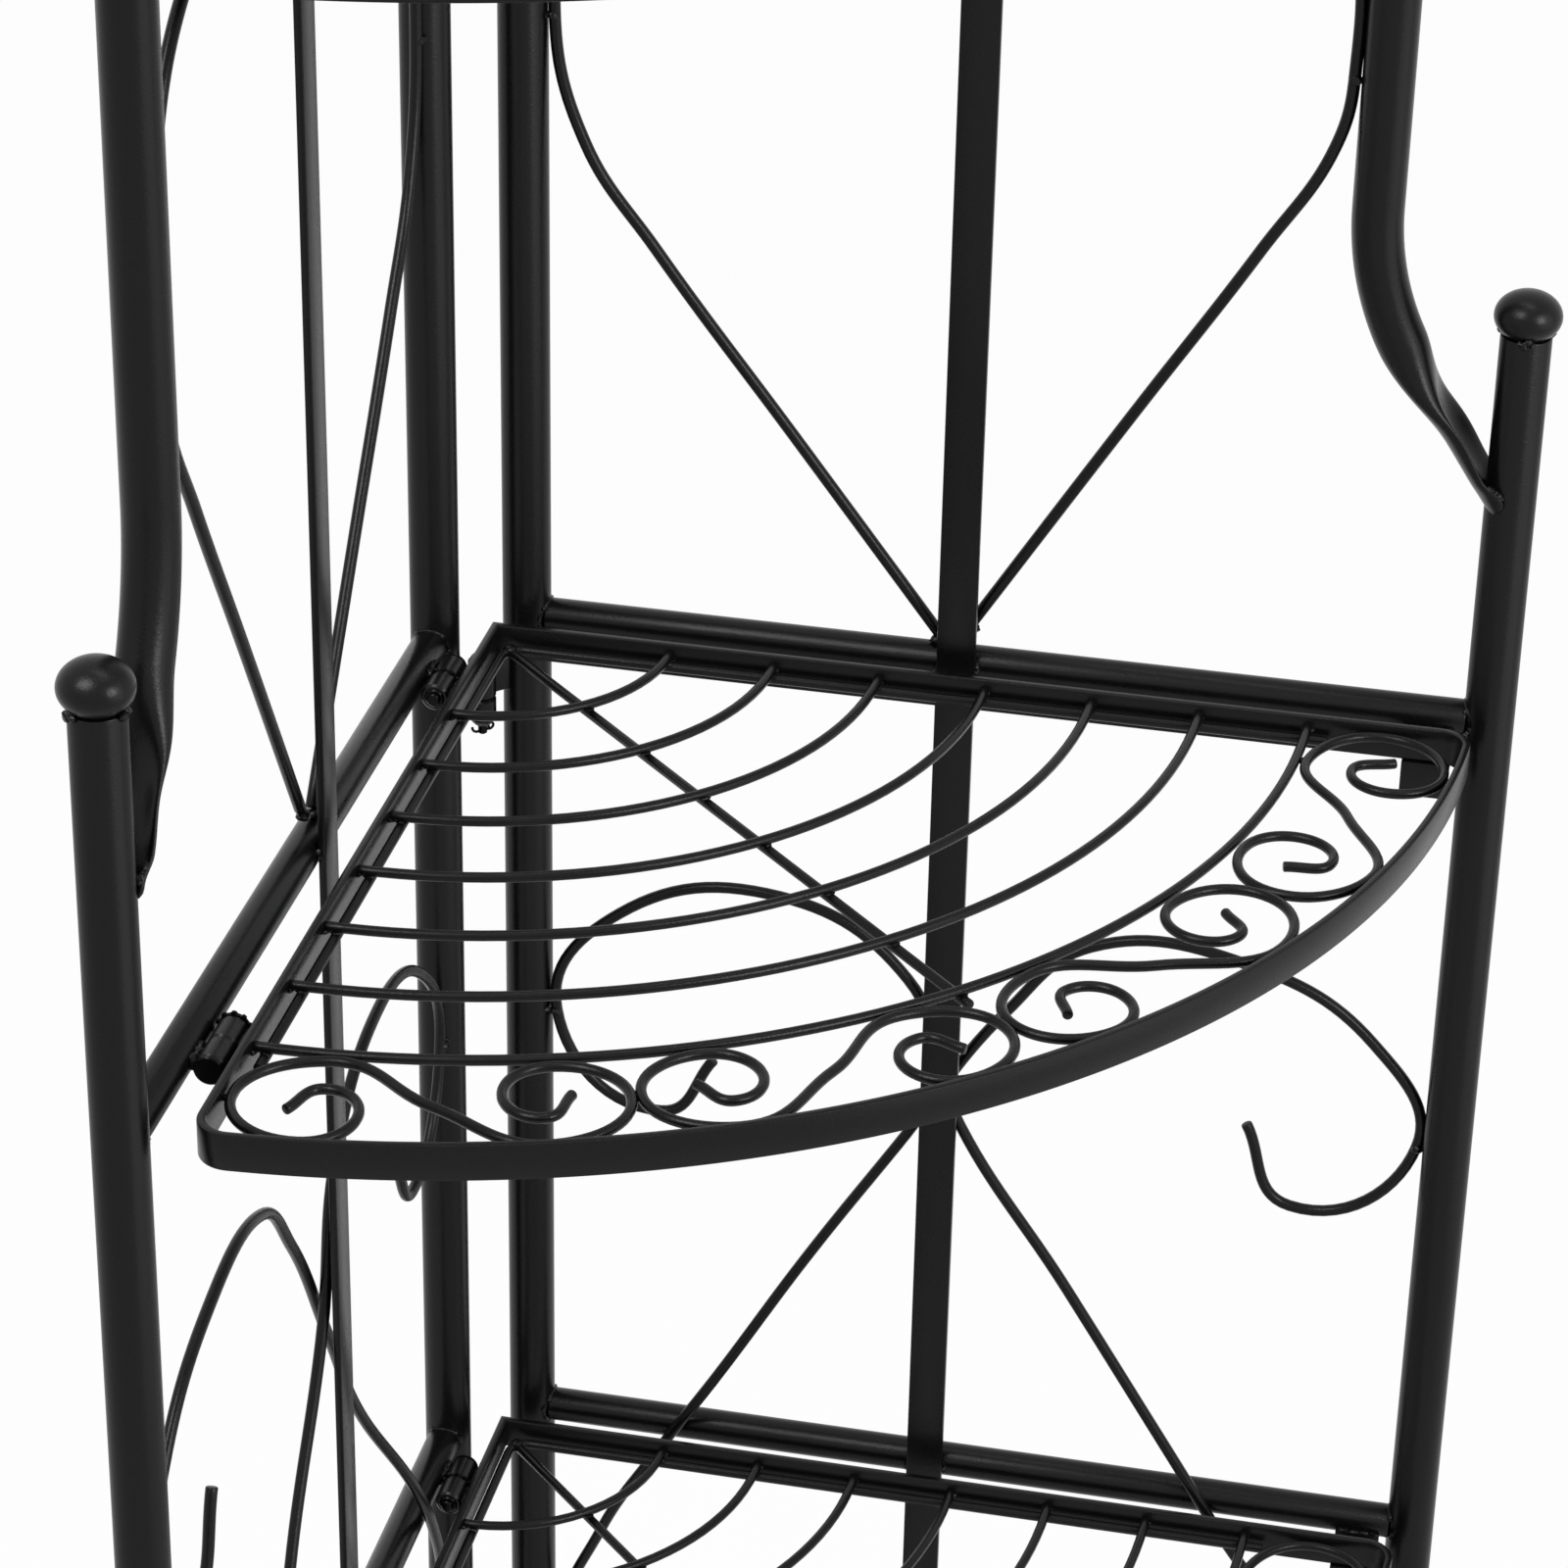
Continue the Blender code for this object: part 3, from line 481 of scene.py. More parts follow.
def end_weld(bm, axis, away, across, radius):
    """A thin run of weld round a rail's end, where it meets the post that stands at axis."""
    columns = []
    for k in range(RAIL_SIDES):
        turn = 2 * math.pi * k / RAIL_SIDES
        ray = across * math.cos(turn) + UP * math.sin(turn)
        size = FILLET * (1 + FILLET_UNEVEN * noise.noise(ray * FILLET_FINE + axis * FILLET_CHANGE))
        column = []
        for row in range(FILLET_ROWS):
            part = row / (FILLET_ROWS - 1)
            swell = FILLET_SWELL * size * math.sin(math.pi * part)
            reach = radius + size * (1 - part) + swell - (GAP if row == FILLET_ROWS - 1 else 0)
            lift = size * part + swell - (GAP if row == 0 else 0)
            rest = math.sqrt(POST_R ** 2 - (reach * math.cos(turn)) ** 2)
            column.append(bm.verts.new(axis + away * (rest + lift) + ray * reach))
        columns.append(column)
    for left, right in zip(columns, columns[1:] + columns[:1]):
        for row in range(FILLET_ROWS):
            n = (row + 1) % FILLET_ROWS
            bm.faces.new((left[row], left[n], right[n], right[row]))
    for turn, size in END_LUMPS:
        rest = math.sqrt(POST_R ** 2 - (radius * math.cos(turn)) ** 2)
        at = axis + away * (rest + END_PROUD) + (across * math.cos(turn) + UP * math.sin(turn)) * radius
        lump(bm, at, (away, across, UP), (size, size, size))


def drawn(bm, path, radius, sides, cut=CUT_ROUND):
    """A round bar along a path of points, with its cut ends softened by the coat."""
    runs = [(after - before).normalized() for before, after in zip(path, path[1:])]
    runs = [runs[0]] + [(a + b).normalized() for a, b in zip(runs, runs[1:])] + [runs[-1]]
    mid = ROUND_MID * cut
    spots = [(path[0], runs[0], radius - cut), (path[0] + runs[0] * mid, runs[0], radius - mid)]
    spots.append((path[0] + runs[0] * cut, runs[0], radius))
    spots += [(point, run, radius) for point, run in zip(path[1:-1], runs[1:-1])]
    spots.append((path[-1] - runs[-1] * cut, runs[-1], radius))
    spots.append((path[-1] - runs[-1] * mid, runs[-1], radius - mid))
    spots.append((path[-1], runs[-1], radius - cut))
    side_way = UP if abs(runs[0].z) < 0.9 else Vector((1, 0, 0))
    stations = []
    for point, run, size in spots:
        side_way = (side_way - run * side_way.dot(run)).normalized()
        stations.append((point, side_way * size, run.cross(side_way) * size))
    swept(bm, stations, sides)


for side in ("left", "right"):
    along, out = panel_axes(side)
    for number, level in enumerate(LEVELS):
        panel_end = shelf_end(number)
        axis_z = level + RAIL_UP
        rear = panel_point(side, REAR_IN, 0, axis_z)
        front = panel_point(side, panel_end, 0, axis_z)
        bm = bmesh.new()
        end_in = along * (POST_R - RAIL_INTO_POST)
        drawn(bm, [rear + end_in, front - end_in], RAIL_R, RAIL_SIDES)
        end_weld(bm, rear, along, out, RAIL_R)
        end_weld(bm, front, -along, out, RAIL_R)
        if side == "left":
            for _, hinge_u, outward in hinge_places(number):
                hinge = Vector((-PLAN_SHIFT + SHELF_HINGE_X, PLAN_SHIFT - hinge_u, level - SHELF_HINGE_DROP))
                foot = hinge + along * -outward * 0.5 * BARREL_SPLIT
                turn = Matrix.Translation(foot) @ Matrix.Rotation(-0.5 * math.pi * outward, 4, "X")
                turned(bm, barrel_ring(BARREL_LEN), BARREL_SIDES, turn, ring=True)
                middle = foot - along * outward * 0.5 * BARREL_LEN
                root = Vector((rear.x, middle.y, axis_z))
                run = middle - root
                tip = middle - run.normalized() * (BARREL_BORE + BARREL_ROUND)
                slab(
                    bm, 0.5 * (root + tip), 0.5 * (tip - root), along * (0.5 * BARREL_LEN - WEB_SHORT),
                    run.normalized().cross(along) * 0.5 * WEB_T, HINGE_WEB_ROUND,
                )
                lip = root + run.normalized() * (RAIL_R + WEB_WELD_PROUD) + UP * 0.5 * WEB_T
                for shift in RAIL_WEB_SPOTS:
                    lump(bm, lip + along * shift, (along, out, UP), RAIL_WEB_LUMP)
        else:
            ledge = level + RIM_UP - RIM_H - GAP
            wall_y = PANEL_BACK - RAIL_R - GAP + TAB_GRIP
            profile = [
                (wall_y, axis_z + TAB_UP), (wall_y - TAB_T, axis_z + TAB_UP), (wall_y - TAB_T, ledge),
                (-TAB_UNDER, ledge), (-TAB_UNDER, ledge - TAB_DROP), (-TAB_UNDER + TAB_T, ledge - TAB_DROP),
                (-TAB_UNDER + TAB_T, ledge - TAB_T), (wall_y, ledge - TAB_T),
            ]
            tab_x = -PLAN_SHIFT + panel_end - TAB_IN
            strip = bm.faces.new([bm.verts.new((tab_x, PLAN_SHIFT + y, z)) for y, z in profile])
            pulled = bmesh.ops.extrude_face_region(bm, geom=[strip], use_keep_orig=True)
            moved = [item for item in pulled["geom"] if isinstance(item, bmesh.types.BMVert)]
            bmesh.ops.translate(bm, verts=moved, vec=along * TAB_LEN)
            corners = moved + list(strip.verts)
            edges = list(dict.fromkeys(edge for vert in corners for edge in vert.link_edges))
            bmesh.ops.bevel(bm, geom=edges, offset=TAB_ROUND, segments=2, profile=0.5, affect="EDGES")
            for shift in TAB_SPOTS:
                at = Vector((tab_x + shift, PLAN_SHIFT + wall_y - 0.5 * TAB_T, axis_z + TAB_UP))
                lump(bm, at, (along, out, UP), TAB_LUMP)
        rail = made(side + "_rail_" + str(number + 1) + "_tube", bm, powder)
        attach(rail, side + "_panel")
        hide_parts(side + "_rail_" + str(number + 1))


# Flat bars
# Hot-rolled 15 by 3 mm strip that stands in front of the rails from below the lowest one up to the
# arch, with softly rounded edges; a spot of weld on each side holds it at every rail.
BAR_U = 0.177
BAR_W = 0.015
BAR_T = 0.003
BAR_BELOW = 0.0115
BAR_ROUND = 0.0006
BAR_SPOT = (0.0016, 0.0016, 0.0022)
BAR_SPOT_OUT = 0.0002
BAR_SPOT_UP = 0.0012

for side in ("left", "right"):
    along, out = panel_axes(side)
    bar_out = RAIL_R + 0.5 * BAR_T
    arch_part = (BAR_U + 0.5 * BAR_W - ARCH_U) / (UPPER_W - ARCH_U)
    high = ARCH_LOW + (ARCH_HIGH - ARCH_LOW) * math.sqrt(1 - arch_part ** 2) - POST_R
    low = LEVELS[0] - BAR_BELOW
    bm = bmesh.new()
    centre = panel_point(side, BAR_U, bar_out, 0.5 * (low + high))
    slab(bm, centre, along * 0.5 * BAR_W, UP * 0.5 * (high - low), out * 0.5 * BAR_T, BAR_ROUND)
    for level in LEVELS:
        for edge in (-1, 1):
            at = panel_point(side, BAR_U + edge * 0.5 * BAR_W, RAIL_R + BAR_SPOT_OUT, level + RAIL_UP)
            lump(bm, at + UP * edge * BAR_SPOT_UP, (along, out, UP), BAR_SPOT)
    bar = made(side + "_flat_bar_strip", bm, powder)
    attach(bar, side + "_panel")
    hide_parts(side + "_flat_bar")


# Hearts and top scrolls
# 4.6 mm mild steel wire, cold bent round pegs: two halves, one on each side of the flat bar, with
# a small weld at the foot, and another where it swells out to the upright or the upper tube. The
# hearts come up to a weld under the rail above; in the top tier the wires end in curls.
# A half runs from its foot at the bar; a knot is (part of the half width, part of the height).
HEART_REAR = [(0.975, 0.005), (0.60, 0.216), (0.249, 0.413), (0.075, 0.522), (0.0, 0.660), (0.075, 0.845)]
HEART_FRONT = [(1.0, 0.022), (0.548, 0.288), (0.223, 0.477), (0.038, 0.594), (0.0, 0.667), (0.061, 0.845)]
HEART_CROWN = [(0.30, 0.948), (0.62, 0.985), (0.945, 0.975)]
TOP_CURL = [(0.35, 0.967), (0.68, 0.832), (0.535, 0.686), (0.428, 0.795)]
HEART_FOOT = 0.0022
TOP_HEART_H = 0.230
WIRE_SIDES = 16
BEND_SMOOTH = 14
# The fifth knot is where a half swells out to the post, and is tied to it there
TOUCH_KNOT = 4
TIE = (0.0024, 0.0021, 0.0019)
TIE_APART = 0.0019
TIE_OUT = {-1: 0.0016, 1: 0.0008}
END_WELD = (0.0034, 0.0026, 0.0019)
FOOT_WELD_OUT = 0.001
UPPER_TOUCH = UPPER_W - POST_R - GAP - WIRE_R


def bent(knots):
    """Points along a wire that is bent smoothly through its knots."""
    curve = bpy.data.curves.new("bend_guide", "CURVE")
    curve.dimensions = "3D"
    curve.resolution_u = BEND_SMOOTH
    spline = curve.splines.new("BEZIER")
    spline.bezier_points.add(len(knots) - 1)
    for knot, point in zip(spline.bezier_points, knots):
        knot.co = point
        knot.handle_left_type = "AUTO"
        knot.handle_right_type = "AUTO"
    guide = bpy.data.objects.new("bend_guide", curve)
    bpy.context.scene.collection.objects.link(guide)
    graph = bpy.context.evaluated_depsgraph_get()
    line = bpy.data.meshes.new_from_object(guide.evaluated_get(graph))
    points = [vert.co.copy() for vert in line.vertices]
    bpy.data.meshes.remove(line)
    bpy.data.objects.remove(guide)
    bpy.data.curves.remove(curve)
    return points


def tie(bm, at, side, towards):
    """The two lumps of a weld that ties a wire to the post beside it, on the shelves' side."""
    along, out = panel_axes(side)
    for step in (-1, 1):
        spot = at + along * towards * (WIRE_R + step * TIE_APART) + out * TIE_OUT[step]
        lump(bm, spot, (along, out, UP), TIE)


for side in ("left", "right"):
    along, out = panel_axes(side)
    for label, level, high, ending in (
        ("heart", LEVELS[2], LEVELS[3] + RAIL_UP - RAIL_R, HEART_CROWN),
        ("top_scroll", LEVELS[3], LEVELS[3] + TOP_HEART_H, TOP_CURL),
    ):
        low = level + RAIL_UP + RAIL_R + WIRE_R
        for end, touch, away, knots in (
            ("rear", REAR_TOUCH, -1, HEART_REAR),
            ("front", UPPER_TOUCH, 1, HEART_FRONT),
        ):
            path = []
            for part, rise in knots + ending:
                u = touch + (BAR_U + away * (WIRE_R + HEART_FOOT) - touch) * part
                path.append(panel_point(side, u, 0, low + (high - low) * rise))
            bm = bmesh.new()
            drawn(bm, bent(path), WIRE_R, WIRE_SIDES)
            tie(bm, path[TOUCH_KNOT], side, away)
            lump(bm, path[0] - UP * WIRE_R + out * FOOT_WELD_OUT, (along, out, UP), END_WELD)
            if ending is HEART_CROWN:
                lump(bm, path[-2] + UP * 1.5 * WIRE_R, (along, out, UP), END_WELD)
            wire = made("_".join((side, label, end, "wire")), bm, powder)
            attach(wire, side + "_panel")
            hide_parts("_".join((side, label, end)))


# Crossing wires
# The same wire in longer lengths: a scroll under the middle rail, a crossing behind the flat bar, a
# straight leg in front of the second rail and a curl at its foot; welded where it touches the posts.
# A knot is (part of the panel's clear width, tiers below the middle level, steps out from the panel).
CROSS_REAR = [
    (0.187, 0.515, 1), (0.125, 0.588, 1), (0.0, 0.475, 1), (0.075, 0.346, 1), (0.262, 0.302, 1),
    (0.412, 0.384, 1), (0.470, 0.541, 1), (0.612, 0.749, 1), (0.752, 0.943, 3.5), (0.816, 1.038, 3.6),
    (0.930, 1.212, 1), (1.0, 1.420, 1), (0.935, 1.579, 1), (0.775, 1.640, 1), (0.645, 1.535, 1),
    (0.730, 1.435, 1), (0.790, 1.515, 1),
]
CROSS_FRONT = [
    (0.806, 0.518, -1), (0.862, 0.614, -1), (1.0, 0.520, -1), (0.942, 0.401, -1), (0.792, 0.323, -1),
    (0.618, 0.325, -1), (0.525, 0.416, -1), (0.405, 0.600, -1), (0.300, 0.762, -1), (0.200, 0.918, 3.2),
    (0.132, 1.024, 3.7), (0.055, 1.160, 2), (0.0, 1.335, -1), (0.060, 1.484, -1), (0.222, 1.549, -1),
    (0.355, 1.444, -1), (0.270, 1.344, -1), (0.210, 1.424, -1),
]
TIER_H = 0.375
CROSS_OUT = WIRE_R + GAP
FRONT_TOUCH = PANEL_W - POST_R - GAP - WIRE_R

for side in ("left", "right"):
    for end, knots in (("rear", CROSS_REAR), ("front", CROSS_FRONT)):
        path = []
        ties = []
        for part, drop, out in knots:
            u = REAR_TOUCH + (FRONT_TOUCH - REAR_TOUCH) * part
            path.append(panel_point(side, u, out * CROSS_OUT, LEVELS[2] - TIER_H * drop))
            if part in (0.0, 1.0):
                ties.append((path[-1], 2 * part - 1))
        bm = bmesh.new()
        drawn(bm, bent(path), WIRE_R, WIRE_SIDES)
        for at, towards in ties:
            tie(bm, at, side, towards)
        wire = made(side + "_crossing_wire_" + end, bm, powder)
        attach(wire, side + "_panel")
        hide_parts(side + "_cross_wire_" + end)


# Corner hinge pins
# Round steel pins with a domed head, blackened in a hot bath and oiled, dropped through the barrels
# at the rear corner; a split pin with curled ends through the foot keeps each one in.
PIN_R = 0.0025
PIN_HEAD_R = 0.0045
PIN_HEAD_H = 0.0022
PIN_PAST = 0.0045
PIN_FOOT_R = 0.0018
PIN_SIDES = 40
PIN_GAP = 0.0001
PIN_SHOULDER = 0.0006
# The head's dome from its top: (part of the head's radius, part of its height)
PIN_DOME = [(0, 1), (0.55, 0.9), (0.88, 0.6), (1, 0.25)]
PIN_HEAD_UNDER = 0.97
PIN_TIP = 0.6
CORNER_PAIR = 2 * CORNER_BARREL_LEN + BARREL_SPLIT
SPLIT_WIRE_R = 0.00055
SPLIT_BELOW = 0.0024
SPLIT_SIDES = 10
SPLIT_CUT = 0.0002
# The split pin's knots: (across the pin, above its hole)
SPLIT_PIN = [
    (-0.0047, 0.0016), (-0.0043, 0.0003), (-0.003, -0.0007), (0.0, -0.0006), (0.0022, -0.0008),
    (0.0039, -0.0008), (0.0048, 0.0005), (0.0037, 0.0016), (0.0026, 0.0006), (0.003, -0.0005),
]

# Blackened and oiled steel: darker and glossier than the coat, with small sharp highlights, and
# faint tool marks about 0.3 mm apart
TOOL_MARK = 0.0003
TOOL_MARK_DEPTH = 0.00006
blackened = bpy.data.materials.new("blackened_oiled_steel")
blackened.use_nodes = True
tree = blackened.node_tree
shader = tree.nodes["Principled BSDF"]
shader.inputs["Base Color"].default_value = linear("#070708")
shader.inputs["IOR"].default_value = 1.5
shader.inputs["Specular IOR Level"].default_value = 0.09
shape = add_node(tree, "ShaderNodeTexCoord").outputs["Object"]
marks = add_node(tree, "ShaderNodeTexNoise", Vector=shape, Scale=1 / TOOL_MARK, Detail=1.0)
bump = add_node(tree, "ShaderNodeBump", Height=marks.outputs["Fac"], Strength=0.15, Distance=TOOL_MARK_DEPTH)
tree.links.new(bump.outputs["Normal"], shader.inputs["Normal"])
film = add_node(tree, "ShaderNodeTexNoise", Vector=shape, Scale=1 / THICKNESS_PATCH)
sheen = add_node(tree, "ShaderNodeMapRange", Value=film.outputs["Fac"], To_Min=0.16, To_Max=0.3)
tree.links.new(sheen.outputs["Result"], shader.inputs["Roughness"])

for number, top in enumerate(CORNER_TOPS):
    axis = Vector((-PLAN_SHIFT - AXIS_IN, PLAN_SHIFT + AXIS_IN, top))
    neck = -CORNER_PAIR + FOOT_CUT
    foot = neck - PIN_PAST
    profile = [(part * PIN_HEAD_R, rise * PIN_HEAD_H) for part, rise in PIN_DOME] + [
        (PIN_HEAD_UNDER * PIN_HEAD_R, PIN_GAP), (PIN_R, PIN_GAP), (PIN_R, neck - PIN_GAP),
        (PIN_FOOT_R, neck - PIN_SHOULDER), (PIN_FOOT_R, foot + PIN_SHOULDER),
        (PIN_TIP * PIN_FOOT_R, foot), (0, foot),
    ]
    bm = bmesh.new()
    turned(bm, profile, PIN_SIDES, Matrix.Translation(axis))
    across = Vector((1, 1, 0)).normalized()
    hole = axis + UP * (neck - SPLIT_BELOW)
    keeper = [hole + across * side_step + UP * rise for side_step, rise in SPLIT_PIN]
    drawn(bm, bent(keeper), SPLIT_WIRE_R, SPLIT_SIDES, SPLIT_CUT)
    pin = made("corner_hinge_pin_" + str(number + 1), bm, blackened)
    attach(pin, "left_panel")
    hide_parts("corner_pin_" + str(number + 1))


# Shelf rims
# 13.5 by 3 mm strip on edge, bent round the two front corners, bowed along the front and welded at the
# square rear corner. The left side carries the hinges' inner barrels on short webs.
SHELF_IN = 0.010
FRONT_BOW = 0.015
CORNER_FILLET = 0.012
RIM_T = 0.003
RIM_ROUND = 0.0006
FILLET_STEPS = 14
BOW_STEPS = 110
RIM_WEB_SPOTS = (-0.0035, 0.0022)
RIM_WEB_LUMP = (0.0026, 0.0013, 0.0013)


def rim_outline(reach):
    """The rim's outer outline from the rear corner round by the left side."""
    bow_r = reach + FRONT_BOW * math.sqrt(2)
    edge = -RIM_T
    centre_x = edge + CORNER_FILLET
    centre_y = FRONT_BOW - math.sqrt((bow_r - CORNER_FILLET) ** 2 - (centre_x + FRONT_BOW) ** 2)
    bow_from = math.atan2(centre_y - FRONT_BOW, centre_x + FRONT_BOW)
    half = [(edge, -edge), (edge, centre_y)]
    for step in range(1, FILLET_STEPS):
        turn = -math.pi + (bow_from + math.pi) * step / FILLET_STEPS
        half.append((centre_x + CORNER_FILLET * math.cos(turn), centre_y + CORNER_FILLET * math.sin(turn)))
    bow = []
    bow_turn = -0.5 * math.pi - 2 * bow_from
    for step in range(BOW_STEPS + 1):
        turn = bow_from + bow_turn * step / BOW_STEPS
        bow.append((-FRONT_BOW + bow_r * math.cos(turn), FRONT_BOW + bow_r * math.sin(turn)))
    return half + bow + [(-y, -x) for x, y in reversed(half[1:])]


def shelf_point(x, y, z):
    """A point measured from a shelf's inner rear corner."""
    return Vector((-PLAN_SHIFT + x, PLAN_SHIFT + y, z))


for number, level in enumerate(LEVELS):
    shelf = "shelf_" + str(number + 1)
    bm = bmesh.new()
    low = level + RIM_UP - RIM_H
    outline = rim_outline(shelf_end(number) - SHELF_IN)
    hoop = bm.faces.new([bm.verts.new(shelf_point(x, y, low)) for x, y in outline])
    hoop.normal_update()
    bmesh.ops.inset_region(bm, faces=[hoop], thickness=RIM_T, use_even_offset=True, use_boundary=True)
    bmesh.ops.delete(bm, geom=[hoop], context="FACES_ONLY")
    pulled = bmesh.ops.extrude_face_region(bm, geom=bm.faces[:], use_keep_orig=True)
    moved = [item for item in pulled["geom"] if isinstance(item, bmesh.types.BMVert)]
    bmesh.ops.translate(bm, verts=moved, vec=UP * RIM_H)
    bmesh.ops.recalc_face_normals(bm, faces=bm.faces)
    flats = [face for face in bm.faces if abs(face.normal.z) > 0.9]
    edges = [
        edge for edge in bm.edges
        if len(edge.link_faces) == 2 and (edge.link_faces[0] in flats) != (edge.link_faces[1] in flats)
    ]
    bmesh.ops.bevel(bm, geom=edges, offset=RIM_ROUND, segments=2, profile=0.5, affect="EDGES")
    for _, hinge_u, outward in hinge_places(number):
        inward = Vector((0, -outward, 0))
        foot = shelf_point(SHELF_HINGE_X, -hinge_u, level - SHELF_HINGE_DROP) + inward * 0.5 * BARREL_SPLIT
        turn = Matrix.Translation(foot) @ Matrix.Rotation(0.5 * math.pi * outward, 4, "X")
        turned(bm, barrel_ring(BARREL_LEN), BARREL_SIDES, turn, ring=True)
        middle = foot + inward * 0.5 * BARREL_LEN
        root = shelf_point(-0.5 * RIM_T, 0, middle.z)
        root.y = middle.y
        tip = middle + Vector((BARREL_BORE + BARREL_ROUND, 0, 0))
        slab(
            bm, 0.5 * (root + tip), 0.5 * (root - tip), inward * (0.5 * BARREL_LEN - WEB_SHORT),
            UP * 0.5 * WEB_T, HINGE_WEB_ROUND,
        )
        for shift in RIM_WEB_SPOTS:
            at = root + Vector((-0.5 * RIM_T - WEB_WELD_PROUD, shift, 0.5 * WEB_T))
            lump(bm, at, (inward, Vector((1, 0, 0)), UP), RIM_WEB_LUMP)
    rim = made(shelf + "_rim_strip", bm, powder)
    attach(rim, shelf)
    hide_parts(shelf + "_rim")


# Shelf grids
# 3.8 mm wire: concentric arcs welded on a support wire that is bent round the rear corner and on a
# diagonal, with the arcs' ends butted against the rim's inner face a third of the way down it.
SHELF_WIRE_R = 0.0019
SHELF_WIRE_SIDES = 14
BAND_W = 0.056
ARC_STEP = 0.041
LEAST_ARC = 0.045
ARC_SMOOTH = 0.006
ARC_STEPS_LEAST = 8
ARC_INTO_RIM = 0.0006
SUPPORT_IN = 0.004
SUPPORT_BEND = 0.008
SUPPORT_PAST = 0.008
DIAGONAL_PAST = 0.005
SUPPORT_STEPS = 8
CROSSING_WELD = (0.0021, 0.0021, 0.0011)
ARC_END_WELD = (0.0014, 0.0024, 0.0015)
ARC_END_IN = 0.001
ARC_END_DOWN = 0.0012
BEND_WELD = (0.0028, 0.0028, 0.0018)
BEND_WELD_UP = 0.001
FLAT_AXES = (Vector((1, 0, 0)), Vector((0, 1, 0)), UP)

for number, level in enumerate(LEVELS):
    shelf = "shelf_" + str(number + 1)
    last_arc = shelf_end(number) - SHELF_IN - BAND_W
    under = level - 2 * SHELF_WIRE_R + GAP
    bm = bmesh.new()
    for count in range(int((last_arc - LEAST_ARC) // ARC_STEP) + 1):
        radius = last_arc - ARC_STEP * count
        into = math.asin(ARC_INTO_RIM / radius)
        steps = ARC_STEPS_LEAST + int(radius / ARC_SMOOTH)
        turns = [-into + (0.5 * math.pi + 2 * into) * step / steps for step in range(steps + 1)]
        path = [shelf_point(radius * math.cos(turn), -radius * math.sin(turn), level) for turn in turns]
        drawn(bm, path, SHELF_WIRE_R, SHELF_WIRE_SIDES)
        for at, run in ((path[0], Vector((0, -1, 0))), (path[-1], Vector((1, 0, 0)))):
            across = UP.cross(run)
            lump(bm, at + run * ARC_END_IN - UP * ARC_END_DOWN, (run, across, UP), ARC_END_WELD)
            cross = at + run * (SUPPORT_IN + ARC_INTO_RIM) - UP * SHELF_WIRE_R
            lump(bm, cross, (run, across, UP), CROSSING_WELD)
        slant = radius * math.sqrt(0.5)
        cross = shelf_point(slant, -slant, level - SHELF_WIRE_R)
        lump(bm, cross, FLAT_AXES, CROSSING_WELD)
    bend_at = SUPPORT_IN + SUPPORT_BEND
    path = [shelf_point(SUPPORT_IN, -last_arc - SUPPORT_PAST, under)]
    for step in range(SUPPORT_STEPS + 1):
        turn = math.pi - 0.5 * math.pi * step / SUPPORT_STEPS
        x = bend_at + SUPPORT_BEND * math.cos(turn)
        path.append(shelf_point(x, -bend_at + SUPPORT_BEND * math.sin(turn), under))
    path.append(shelf_point(last_arc + SUPPORT_PAST, -SUPPORT_IN, under))
    drawn(bm, path, SHELF_WIRE_R, SHELF_WIRE_SIDES)
    near = bend_at - SUPPORT_BEND * math.sqrt(0.5)
    far = (last_arc + DIAGONAL_PAST) * math.sqrt(0.5)
    diagonal = [shelf_point(near, -near, under), shelf_point(far, -far, under)]
    drawn(bm, diagonal, SHELF_WIRE_R, SHELF_WIRE_SIDES)
    bend_middle = path[1 + SUPPORT_STEPS // 2]
    lump(bm, bend_middle + UP * BEND_WELD_UP, FLAT_AXES, BEND_WELD)
    grid = made(shelf + "_wire_grid", bm, powder)
    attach(grid, shelf)
    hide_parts(shelf + "_grid")


# Scroll bands
# Four S-scrolls of the same wire in the space between the last arc and the front rim, cold bent and
# each turned over from the one before; short welds tie them to the arc, the rim and each other.
# Half a scroll from its inner end; a knot is (part of the scroll's length, part of the band's width).
SCROLL = [
    (0.145, 0.62), (0.222, 0.34), (0.325, 0.62), (0.205, 0.985), (0.0, 0.53), (0.205, 0.005), (0.5, 0.5),
]
SCROLL_COUNT = 4
BAND_CLEAR = 0.0005
SHELF_TIE = (0.0013, 0.0022, 0.0013)
SHELF_TIE_DOWN = 0.0006
TOUCHING = 0.01


def bow_reach(reach, angle):
    """Distance from the rear corner to the rim's outer face at an angle below the right side."""
    both = FRONT_BOW * (math.cos(angle) + math.sin(angle))
    bow_r = reach + FRONT_BOW * math.sqrt(2)
    return -both + math.sqrt(both ** 2 + bow_r ** 2 - 2 * FRONT_BOW ** 2)


